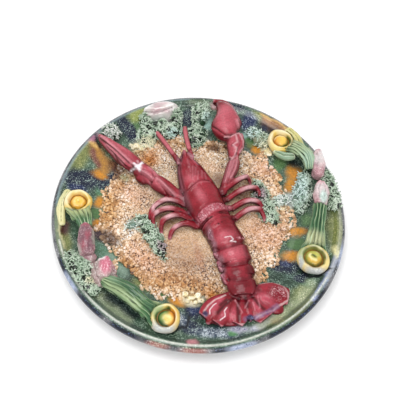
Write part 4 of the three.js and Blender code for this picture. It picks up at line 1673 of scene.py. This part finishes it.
    lumps: tuple[Lump, ...] = pats(
        (15.5, -9, 22, 7, 18, 13, -59), (21, -16.5, 22, 7, 18, 13, -58), (25.5, -25, 22, 7, 17, 12.6, -60),
        (33.3, -36, 21.5, 7, 16, 12.6, -62), (41.6, -56.5, 21.2, 7, 14.8, 11.8, -71),
        (46.8, -71, 20.5, 7, 13.8, 10.8, -76), (50.5, -90, 19.5, 7, 12, 8.4, -80),
        *((x, y, 24, 5.5, 3.6, 3.2, turn) for x, y, turn in (
            (-16, 6, 0), (-12, -5, 0), (-7, -12, 10), (-2, -18, 10), (19, 25, 30), (24.5, 16.5, 25),
            (30, 7, 20), (34, -5, 20),
        )),
        (-22.6, 62, 33.5, 7.5, 2.6, 2.6, 98), (-28, 53, 33, 5, 2.6, 2.6, 105),
        (-14, 62, 33.5, 4.5, 2.3, 2.3, 110), (-17, 10.5, 24, 7, 5, 5, -35), (22, 27, 24, 5, 6, 5),
        (-50, 29.5, 28.5, 5.5, 6, 5.5, -38), (-70, 41.5, 31, 6.5, 7, 5, -40), (-65, 31, 26, 8, 5, 5.5, -38),
        (-84, 57.5, 30, 17, 4.5, 5, -33),
        *((x, y, 21.8, along, across, up, turn) for x, y, along, across, up, turn in (
            (25.5, -108.5, 16, 6.5, 5.6, 61), (33, -109, 13.5, 5, 5.8, 70), (41, -108.5, 14, 4.8, 6, 84),
            (49, -106.5, 13, 4.6, 6, 98), (56, -104, 12, 4.8, 5.8, 110), (64, -101, 13, 5, 5.6, 126),
            (75, -95.5, 17, 8.5, 5, 160), (78, -89, 17, 7, 4.8, 178), (34, -117, 17, 6, 4, -2),
        )),
        *((x, y, 24.5, 6, 3.4, 4, -68) for x, y in ((15.5, -33), (21, -48), (26.5, -62), (31.5, -75))),
        (-18, 60.5, 31, 7.5, 6.5, 4.6, 100), (-72, 41, 34.5, 5, 3.5, 3.2, -40), (31, 66, 30, 6, 6.5, 5),
        (30.5, 92, 32, 8, 5, 6),
    )
    nodes: tuple[str, ...] = (
        "carapace", *(f"abdomen_{i}" for i in range(1, 6)), "telson",
        "left_inner_fluke", "left_outer_fluke", "right_outer_fluke", "right_inner_fluke",
        *(f"{side}_{part}" for side in ("left", "right") for part in ("merus", "wrist", "claw", "finger")),
        *(f"{side}_leg_{i}" for side in ("left", "right") for i in range(1, 5)),
        "left_antenna", "right_antenna",
    )

    def build(self) -> BVHTree:
        """Fuses the lobster's parts, works its surface and glazes it.

        Returns:
            Its surface, for what lies round it.
        """
        parts = [softened(node, self.swell, 2) for node in self.nodes]
        mesh = fused((*parts, *(lump.mesh() for lump in self.lumps)), self.voxel, 4)
        points = positions(mesh)
        facing = np.clip(-normals(mesh)[:, 2], 0, 1)
        points[:, 2] -= self.sink * facing
        place(mesh, points)
        for how in self.uneven:
            roughen(mesh, *how)
        wider, higher = self.arm_tool
        arms = (Stroke(s.points, wider * s.width, higher * s.height) for s in self.left_arm + self.right_arm)
        body = self.head + self.shell_bands + self.tail_bands + self.side_plates + self.lace + self.fan
        carve(mesh, (*body, *arms))
        measure_bend(mesh, 6)
        publish("lobster", mesh, CRIMSON, self.nodes)
        return surface(mesh)


# ---- Seaweed, shell and moss -----------------------------------------------------------------


@dataclass(frozen=True)
class Disc:
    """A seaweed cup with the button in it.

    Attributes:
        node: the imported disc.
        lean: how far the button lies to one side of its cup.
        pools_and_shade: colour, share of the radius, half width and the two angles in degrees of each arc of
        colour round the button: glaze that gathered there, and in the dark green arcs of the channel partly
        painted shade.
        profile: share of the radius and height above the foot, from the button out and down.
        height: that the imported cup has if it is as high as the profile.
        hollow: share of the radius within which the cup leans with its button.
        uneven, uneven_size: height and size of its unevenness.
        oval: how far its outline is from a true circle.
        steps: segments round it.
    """

    node: str
    lean: tuple[float, float] = (0.0, 0.0)
    pools_and_shade: tuple[tuple[str, float, float, float, float], ...] = ()
    profile: Pairs = (
        (0, 10.2), (0.08, 10.3), (0.16, 10.7), (0.28, 10.8), (0.4, 10.2), (0.48, 9), (0.53, 7.2), (0.57, 6.9),
        (0.6, 8.2), (0.64, 10.8), (0.69, 12.3), (0.77, 13.0), (0.87, 12.3), (0.95, 10.6), (1.0, 8), (0.97, 5),
        (0.86, 2), (0.76, -1.5),
    )
    height: float = 14.0
    hollow: float = 0.72
    uneven: float = 1.3
    uneven_size: float = 7.0
    oval: float = 0.09
    steps: int = 72

    def build(self) -> None:
        """Turns the cup and sets its button to one side."""
        low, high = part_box(self.node)
        radius = (high.x - low.x) / 2
        middle = (low + high) / 2
        scale = (high.z - low.z) / (self.height * MM)
        bm = turned(((r * radius, z * MM * scale) for r, z in self.profile), self.steps)
        for vert in bm.verts:
            share = vert.co.xy.length / radius
            inner = max(0.0, 1 - (share / self.hollow) ** 4)
            vert.co.xy += Vector(self.lean) * MM * inner
            vert.co.z += self.uneven * MM * noise.noise(vert.co / (self.uneven_size * MM) + middle * 50)
            vert.co.xy *= 1 + self.oval * noise.noise(vert.co.normalized() * 1.3 + middle * 30)
        bmesh.ops.translate(bm, verts=bm.verts, vec=(middle.x, middle.y, low.z))
        mesh = through(bm, ("SUBSURF", {"levels": 1, "render_levels": 1}))
        measure_bend(mesh)
        glaze = replace(YELLOW, washes=(*YELLOW.washes, *self._pools_and_shade(middle / MM, radius / MM)))
        publish(self.node.replace("disc", "cup"), mesh, glaze, (self.node,))

    def _pools_and_shade(self, middle: Vector, radius: float) -> list[Wash]:
        """Washes for the arcs round the button: glaze gathered there, and in the dark green ones of the
        channel partly painted shade.

        Args:
            middle, radius: of the cup, in millimetres.

        Returns:
            A wash for each pool.
        """
        centre = middle.xy + Vector(self.lean)
        washes = []
        for colour, share, width, start, end in self.pools_and_shade:
            angles = np.radians(np.linspace(start, end, 9))
            line = np.array(centre) + share * radius * np.stack((np.cos(angles), np.sin(angles)), axis=1)
            washes.append(Wash(colour, (Streak(width, line),), 0.8, 0.9))
        return washes


@dataclass(frozen=True)
class Stalk:
    """A ribbed stalk that arches from a cup to its buds.

    Attributes:
        node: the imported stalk.
        disc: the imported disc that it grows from.
        route: stations as x and y from the disc's middle, height above its foot, half width, half height.
        ribs: how many ribs lie side by side on it.
        depth, sharp: share of the radius that the grooves between them go in, and how narrow they are.
        sway: how far the ribs wander to the side, as a share of the width.
        headroom: how high over the foot it may be, by share of the cup's radius, to leave the cup free.
        sides, rings: how many faces it has round it and along it.
    """

    node: str
    disc: str
    route: tuple[tuple[float, float, float, float, float], ...]
    ribs: int = 5
    depth: float = 0.4
    sharp: float = 2.2
    sway: float = 0.1
    headroom: tuple[tuple[float, ...], ...] = ((0.0, 0.84, 0.93), (-2.0, 2.0, 99.0))
    sides: int = 120
    rings: int = 28

    def build(self) -> None:
        """Draws the ribbed section along its route."""
        low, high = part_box(self.disc)
        foot = Vector(((low.x + high.x) / 2, (low.y + high.y) / 2, low.z)) / MM
        stations = np.array(self.route)
        stations[:, :3] += np.array(foot)
        spots = np.linspace(0, len(stations) - 1, self.rings)
        values = np.stack([self._eased(stations[:, k], spots) for k in range(5)], axis=1)
        bm = bmesh.new()
        ring = bmesh.ops.create_circle(bm, segments=self.sides, radius=1, cap_ends=True)["verts"]
        self._set_ring(ring, values, 0)
        edges = list({e for v in ring for e in v.link_edges})
        for i in range(1, self.rings):
            ring, edges = extruded(bm, edges)
            self._set_ring(ring, values, i)
        close(bm)
        mesh = to_mesh(bm, "stalk")
        roughen(mesh, 5, 0.5, 3)
        points = positions(mesh)
        radius = (high.x - low.x) / 2 / MM
        away = np.hypot(points[:, 0] - foot.x, points[:, 1] - foot.y) / radius
        points[:, 2] = np.minimum(points[:, 2], np.interp(away, *self.headroom) + foot.z)
        place(mesh, points)
        measure_bend(mesh, 6)
        publish(self.node + "_ribbed", mesh, STALK_GREEN, (self.node,))

    def _eased(self, column: np.ndarray, spots: np.ndarray) -> np.ndarray:
        """Joins one field of the stations by a smooth curve.

        Args:
            column: the field at each station.
            spots: places along the route, in stations.

        Returns:
            The field at each of those places.
        """
        padded = np.concatenate([[2 * column[0] - column[1]], column, [2 * column[-1] - column[-2]]])
        found = []
        for spot in spots:
            i = min(int(spot), len(column) - 2)
            t = spot - i
            p0, p1, p2, p3 = padded[i:i + 4]
            bend = 2 * p0 - 5 * p1 + 4 * p2 - p3 + t * (3 * (p1 - p2) + p3 - p0)
            found.append(p1 + 0.5 * t * (p2 - p0 + t * bend))
        return np.array(found)

    def _set_ring(self, ring: Sequence[BMVert], values: np.ndarray, i: int) -> None:
        """Puts a ring of vertices on the section at one station.

        Args:
            ring: the vertices, in order round the section.
            values: the route's fields at every ring.
            i: which ring it is.
        """
        ahead = values[min(i + 1, len(values) - 1), :3] - values[max(i - 1, 0), :3]
        along = Vector(ahead).normalized()
        across = along.cross(Vector((0, 0, 1))).normalized()
        above = across.cross(along)
        x, y, z, half_width, half_height = values[i]
        for k, vert in enumerate(ring):
            angle = math.tau * k / len(ring)
            lie = (math.cos(angle) + 1) / 2
            lie += self.sway * noise.noise(Vector((x / 9, y / 9, 4 * lie)))
            groove = 1 - abs(math.sin(math.pi * self.ribs * lie))
            factor = 1 - self.depth * groove ** self.sharp
            offset = across * math.cos(angle) * half_width + above * math.sin(angle) * half_height
            vert.co = (Vector((x, y, z)) + offset * factor) * MM


@dataclass(frozen=True)
class Bud:
    """A bud, leaf or shell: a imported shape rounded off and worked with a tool.

    Attributes:
        node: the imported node.
        name: the piece's name.
        strokes: what is worked into it.
        lumps, lump_size: height and size of its unevenness.
        added: pats of clay pressed on it.
        swell: how far it grows to make up for its rounding.
        voxel: size of its faces.
        fine, fine_size: height of a finer unevenness, as a share of lumps, and its size.
    """

    node: str
    name: str
    strokes: tuple[Stroke, ...] = ()
    lumps: float = 0.4
    lump_size: float = 4.0
    added: tuple[Lump, ...] = ()
    swell: float = 0.5
    voxel: float = 0.6
    fine: float = 0.4
    fine_size: float = 1.8

    def build(self, glaze: Glaze, slot: Slot) -> None:
        """Rounds and works the shape.

        Args:
            glaze: its glaze.
            slot: a material slot for it; not used.
        """
        mesh = softened(self.node, self.swell, 3, 0.3)
        mesh = fused((mesh, *(pat.mesh() for pat in self.added)), self.voxel, 4)
        roughen(mesh, self.lump_size, self.lumps, 5)
        roughen(mesh, self.fine_size, self.fine * self.lumps, 6)
        carve(mesh, self.strokes)
        measure_bend(mesh)
        publish(self.name, mesh, glaze, (self.node,))


@dataclass
class Moss:
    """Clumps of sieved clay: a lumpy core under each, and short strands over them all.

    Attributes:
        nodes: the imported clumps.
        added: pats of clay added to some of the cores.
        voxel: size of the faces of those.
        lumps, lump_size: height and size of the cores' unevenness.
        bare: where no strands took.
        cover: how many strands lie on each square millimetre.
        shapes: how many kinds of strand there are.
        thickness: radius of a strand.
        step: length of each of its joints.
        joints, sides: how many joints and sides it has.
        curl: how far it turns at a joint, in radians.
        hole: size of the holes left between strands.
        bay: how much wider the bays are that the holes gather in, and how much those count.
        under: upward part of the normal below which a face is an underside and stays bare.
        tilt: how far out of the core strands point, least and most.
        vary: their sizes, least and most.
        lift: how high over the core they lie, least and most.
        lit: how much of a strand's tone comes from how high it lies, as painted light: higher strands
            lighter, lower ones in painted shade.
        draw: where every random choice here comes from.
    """

    nodes: tuple[str, ...] = tuple(
        f"{clump}_moss"
        for clump in (
            "claw_tip", "back_left", "shell", "antenna", "back", "right_back", "right_inner", "right_bud",
            "right_rim", "left_inner", "left_rim",
        )
    )
    added: dict[str, tuple[Lump, ...]] = field(default_factory=lambda: {
        "right_inner_moss": pats((86, 27, 17, 9, 4.5, 3.4, 25)),
        "left_inner_moss": pats((-69, -21, 16.5, 7, 4, 2.8, 20)),
        "shell_moss": pats((-71, 111, 22, 4, 8, 6.5, 20), (-63, 106, 21, 8, 5, 6), (-37, 118, 23, 5, 11, 6),
                           (-56, 106, 22, 14, 4, 6.5, 5)),
    })
    bare: tuple[Touch, ...] = touches(
        (-8, 115, 4.5, 4.5), (-5, 106, 3, 4), (-14, 124, 5, 2, 30), (-67, 101, 2.5, 4), (-58, 97.5, 4, 1.8),
        (-42, 112, 7, 1.8, 10), (-60, 105, 5, 1.6, -20), (-31, 112, 2.5, 6), (52, 100, 4, 3),
    )
    voxel: float = 1.2
    lumps: float = 1.6
    lump_size: float = 3.5
    cover: float = 1.3
    shapes: int = 14
    thickness: float = 0.5
    step: float = 0.78
    joints: int = 5
    sides: int = 4
    curl: float = 0.95
    hole: float = 2.8
    bay: tuple[float, float] = (2.7, 0.4)
    under: float = -0.1
    tilt: tuple[float, float] = (-0.2, 0.3)
    vary: tuple[float, float] = (0.75, 1.25)
    lift: tuple[float, float] = (0.1, 2.0)
    lit: float = 0.7
    draw: random.Random = field(default_factory=lambda: random.Random(23))

    def build(self) -> None:
        """Makes the cores and lays the strands on them."""
        shapes = self._shapes()
        for node in self.nodes:
            mesh = softened(node, 0.0, 2, 0.2)
            if node in self.added:
                mesh = fused((mesh, *(pat.mesh() for pat in self.added[node])), self.voxel, 2)
            roughen(mesh, self.lump_size, self.lumps, len(node))
            measure_bend(mesh)
            heap = bmesh.new()
            for spot, outward in self._spots(mesh):
                self._lay(heap, self.draw.choice(shapes), spot, outward)
            publish(node + "_core", mesh, MOSS_SHADE, (node,))
            publish(node + "_strands", to_mesh(heap, "strands"), CELADON)

    def _spots(self, mesh: Mesh) -> list[tuple[Vector, Vector]]:
        """Picks random places on the upper side of a core, even over its area.

        Args:
            mesh: the core.

        Returns:
            Each place with the way out of the core there.
        """
        spots = []
        wider, part = self.bay
        for face in mesh.polygons:
            if face.normal.z < self.under:
                continue
            wanted = face.area / MM ** 2 * self.cover
            corners = [mesh.vertices[i].co for i in face.vertices]
            for _ in range(int(wanted + self.draw.random())):
                shares = [self.draw.random() for _ in corners]
                spot = sum((c * s for c, s in zip(corners, shares)), Vector()) / sum(shares)
                held = noise.noise(spot / (self.hole * MM))
                held += part * noise.noise(spot / (wider * self.hole * MM))
                if held > 0.0 and all(touch.away(np.array([spot]) / MM)[0] > 1 for touch in self.bare):
                    spots.append((spot, face.normal.copy()))
        return spots

    def _shapes(self) -> list[Mesh]:
        """Makes a few strands, each curled its own way.

        Returns:
            Their meshes, which start at the origin.
        """
        shapes = []
        for _ in range(self.shapes):
            bm = bmesh.new()
            ring = bmesh.ops.create_circle(
                bm, segments=self.sides, radius=self.thickness * MM, cap_ends=True,
            )["verts"]
            edges = list({e for v in ring for e in v.link_edges})
            heading = Matrix.Identity(4)
            for _ in range(self.joints):
                bend = Euler([self.draw.uniform(-self.curl, self.curl) for _ in range(3)])
                bend = bend.to_matrix().to_4x4()
                move = heading @ Matrix.Translation((0, 0, self.step * MM)) @ bend @ heading.inverted()
                heading = move @ heading
                ring, edges = extruded(bm, edges)
                bmesh.ops.transform(bm, matrix=move, verts=ring)
            close(bm)
            bm.verts.layers.float.new("tone")
            shapes.append(to_mesh(bm, "strand"))
        return shapes

    def _lay(self, heap: BMesh, shape: Mesh, spot: Vector, outward: Vector) -> None:
        """Adds one strand that lies almost flat on its core.

        Args:
            heap: the mesh that it goes into.
            shape: the kind of strand.
            spot: where it starts.
            outward: the way out of the core there.
        """
        side = outward.orthogonal().normalized()
        side.rotate(Matrix.Rotation(self.draw.uniform(0, math.tau), 3, outward))
        lie = (side + outward * self.draw.uniform(*self.tilt)).normalized()
        turn = lie.to_track_quat("Z", "Y")
        scale = self.draw.uniform(*self.vary)
        high = self.draw.random()
        lowest, highest = self.lift
        lift = outward * (lowest + (highest - lowest) * high) * MM
        strand = shape.copy()
        strand.transform(Matrix.LocRotScale(spot + lift, turn, (scale, scale, scale)))
        # Painted light: strands that lie higher are lighter, those lower down are in painted shade.
        tone = self.lit * high + (1 - self.lit) * self.draw.random()
        store(strand, "tone", np.full(len(strand.vertices), tone))
        heap.from_mesh(strand)
        bpy.data.meshes.remove(strand)


# ---- Studio ----------------------------------------------------------------------------------


@dataclass(frozen=True)
class Paper:
    """Matt white paper under the plate: pale, with hardly any sheen.

    Attributes:
        name: the material's name.
        colour: sRGB hex.
        roughness: of the surface.
        tooth, height: size and height of its unevenness.
    """

    name: str = "matt white paper"
    colour: str = "ffffff"
    roughness: float = 0.8
    tooth: float = 0.35
    height: float = 0.02

    def material(self) -> Material:
        """Builds the material.

        Returns:
            The new material.
        """
        material, tree, spot = new_material(self.name)
        look = {"Base Color": linear(self.colour), "Roughness": self.roughness}
        coat(tree, spot, self.tooth, self.height, look)
        return material


@dataclass
class Softbox:
    """A square soft light.

    Attributes:
        name: of the light.
        azimuth: its direction in degrees round from -Y towards +X.
        elevation: its height in degrees.
        distance: from the plate, in metres.
        size: of its side, in metres.
        power: in watts.
    """

    name: str
    azimuth: float
    elevation: float
    distance: float
    size: float
    power: float

    def build(self) -> None:
        """Hangs the light so that it faces the plate."""
        a, e = math.radians(self.azimuth), math.radians(self.elevation)
        away = Vector((math.sin(a) * math.cos(e), -math.cos(a) * math.cos(e), math.sin(e)))
        light = bpy.data.lights.new(self.name, "AREA")
        light.energy = self.power
        light.size = self.size
        lamp = add_object(self.name, light)
        lamp.location = away * self.distance
        lamp.rotation_euler = away.to_track_quat("Z", "Y").to_euler()


@dataclass
class Studio:
    """The white table, the lights and the camera.

    Attributes:
        elevation: the camera's height in degrees.
        distance: the camera's distance from the plate's middle.
        aim: where it looks, in plan.
        roll: how far it is turned about its own axis, in degrees.
        view: its field of view in degrees.
        world: strength of the light from all round.
        lights: the soft lights.
    """

    elevation: float = 60.35
    distance: float = 795.9
    aim: tuple[float, float] = (-0.9, 28.3)
    roll: float = 5.72
    view: float = 30.0
    world: float = 0.84
    lights: tuple[Softbox, ...] = (
        Softbox("overhead", -60, 80, 1.0, 0.55, 4.2),
        Softbox("front", 15, 33, 1.0, 0.5, 2.4),
        Softbox("window", -150, 48, 1.0, 0.3, 0.5),
    )

    def build(self) -> None:
        """Sets up the table, the lights and the camera."""
        self._table()
        self._sky()
        for light in self.lights:
            light.build()
        self._camera()
        bpy.context.scene.view_settings.view_transform = "Standard"

    def _table(self) -> None:
        """A pale table that reaches past the view."""
        bm = bmesh.new()
        bmesh.ops.create_grid(bm, x_segments=4, y_segments=4, size=2.0)
        mesh = to_mesh(bm, "table")
        mesh.materials.append(Paper().material())
        table = add_object("table", mesh)

    def _sky(self) -> None:
        """Even white light from all round."""
        world = bpy.data.worlds.new("light tent")
        world.use_nodes = True
        background = world.node_tree.nodes["Background"]
        background.inputs["Color"].default_value = (1, 1, 1, 1)
        background.inputs["Strength"].default_value = self.world
        bpy.context.scene.world = world

    def _camera(self) -> None:
        """A camera that looks down on the plate from the front, slightly rolled."""
        height = math.radians(self.elevation)
        away = Vector((0, -math.cos(height), math.sin(height)))
        data = bpy.data.cameras.new("camera")
        data.angle = math.radians(self.view)
        camera = add_object("camera", data)
        camera.location = away * self.distance * MM
        target = Vector((*self.aim, 0)) * MM
        look = (camera.location - target).to_track_quat("Z", "Y").to_matrix()
        roll = Matrix.Rotation(math.radians(self.roll), 3, "Z")
        camera.rotation_euler = (look @ roll).to_euler()
        bpy.context.scene.camera = camera


# ---- The plate -------------------------------------------------------------------------------


@dataclass
class Seaweed:
    """What the sea left on the rim.

    Attributes:
        discs, stalks, buds, leaves: of the sprigs.
        shell: the shell at the top.
    """

    # The dark green arcs in the cups' channels are partly glaze gathered there and partly painted shade.
    discs: tuple[Disc, ...] = (
        Disc("left_upper_disc", (0.5, 0.6), (
            ("dda032", 0.5, 1.8, 0, 360), ("ecc04c", 0.03, 3.0, 0, 90), ("5d6a2c", 0.57, 0.8, 200, 330))),
        Disc("left_lower_disc", (2.4, 0.2), (
            ("d98f22", 0.42, 2.6, -60, 80), ("edcf74", 0.2, 3.4, 200, 320), ("5c8242", 0.4, 3.0, 110, 220),
            ("1f4a26", 0.56, 2.0, 90, 270))),
        Disc("right_upper_disc", (0.6, 0.2), (
            ("e2a63a", 0.2, 4.4, 180, 360), ("efc65c", 0.2, 3.0, -60, 60), ("c8843a", 0.42, 2.0, 170, 240),
            ("eed9a0", 0.5, 1.6, 60, 160), ("2a5526", 0.56, 1.9, -100, 40))),
        Disc("right_lower_disc", (0.6, 1.4), (
            ("3c4a2a", 0.56, 2.3, 0, 360), ("b4b455", 0.24, 4.2, 0, 230), ("d3a83f", 0.34, 2.2, 230, 340),
            ("e9e0a0", 0.22, 1.2, 150, 290), ("2f4a22", 0.06, 1.2, 0, 140))),
    )
    stalks: tuple[Stalk, ...] = (
        Stalk("left_upper_stalk", "left_upper_disc", (
            (0, 1, 5.5, 14, 4.5), (1.5, -6, 8.5, 14, 5), (4.5, -13.5, 11, 12, 5), (9.5, -20.5, 12.5, 10, 5),
            (13, -29, 11, 7, 4.5))),
        Stalk("left_lower_stalk", "left_lower_disc", (
            (-63, 31, 10, 5, 4.5), (-56, 28, 13, 8.5, 5), (-38, 20, 15.5, 10.5, 5.5), (-24, 10, 14.5, 9.5, 5),
            (-14, 5, 11, 11.5, 5), (-7, 2, 8.5, 13.5, 5), (-1, 0, 5.5, 14, 4.5))),
        Stalk("right_upper_stalk", "right_upper_disc", (
            (1, 0, 5.5, 13, 4.5), (6, -3.5, 9, 11, 5), (11, -7.5, 12.5, 8.5, 5), (21, -15.5, 16.5, 8.5, 5),
            (29, -24.5, 16.5, 8, 5), (32, -37, 13, 6, 4.5))),
        Stalk("right_lower_stalk", "right_lower_disc", (
            (5, 60, 13.5, 8.5, 5.5), (4, 46.5, 16.5, 8, 5), (2.5, 32.5, 16, 8.8, 5), (1, 17.5, 11.5, 12, 5),
            (0, 8, 8.5, 14.5, 5), (0, 0, 5.5, 14.8, 4.5))),
    )
    buds: tuple[Bud, ...] = (
        Bud("left_long_bud", "mottled_bud",
            strokes(1.3, -0.6, (-109, -40, -105, -50, -104, -62), (-116, -42, -116, -52, -111, -64)),
            0.9, 6.0, pats((-105, -66, 25, 9, 7, 5, -40), (-112, -38, 26, 7, 6, 5))),
        Bud("left_calyx", "calyx",
            strokes(1.2, -0.9, (-98, -76, -94, -86, -88, -93), (-76, -76, -78, -86, -84, -93)),
            1.0, 3.0, pats((-99, -78, 23, 6, 8, 5, -20), (-78, -88, 23, 6, 8, 5, 10))),
        Bud("left_cone_bud", "cone_bud",
            strokes(1.1, -0.5, *((0.2 * x - 86, -68, x - 86, -78, x - 87, -90) for x in (-5, -1.5, 2.5, 6))),
            0.2),
        Bud("right_upper_bud", "tall_bud",
            strokes(2.2, -1.6, (118, 78, 122, 72, 120, 66)) + strokes(1.2, -0.5, (122, 84, 124, 72, 124, 58)),
            0.9, 6.0, pats((123, 60, 26, 7, 8, 6, 90), (122, 74, 27, 9, 6, 6, 90))),
        Bud("right_lower_bud", "round_bud",
            strokes(1.0, -0.8, (125, 46, 121, 34, 122, 22), (126, 46, 129, 34, 127, 22)), 0.8, 3.5),
    )
    leaves: tuple[Bud, ...] = (
        Bud("left_leaf", "straw_leaf", strokes(1.0, -0.8, (-139, 6, -142, -8, -139, -30)), 0.2),
        Bud("right_leaf", "yellow_leaf", strokes(1.0, -0.9, (90, 113, 98, 103, 103, 90)), 0.2),
        Bud("folded_leaf", "green_leaf", strokes(1.2, -1.3, (76, 82, 84, 77, 95, 77)), 0.2),
    )
    shell: Bud = Bud("shell", "sea_shell", strokes(1.6, -1.6, (-72, 118, -62, 115, -52, 118, -42, 126))
                + strokes(1.5, 1.0, (-70, 121, -60, 119, -50, 122, -42, 129)), 0.4, 6.0)

    def build(self) -> None:
        """Makes every cup, stalk, bud and leaf, and the shell."""
        for piece in (*self.discs, *self.stalks):
            piece.build()
        for bud in self.buds:
            bud.build(BUD_PINK, Slot.BUD)
        for leaf in self.leaves:
            leaf.build(STRAW, Slot.LEAF)
        self.shell.build(SHELL_WHITE, Slot.SHELL)


def main() -> None:
    """Builds the plate, piece by piece, in its studio."""
    logging.basicConfig(level=logging.INFO, format="%(name)s: %(message)s")
    Studio().build()
    Dish().build()
    relief = Lobster().build()
    Sand().build(relief)
    Seaweed().build()
    Moss().build()


if __name__ == "__main__":
    main()
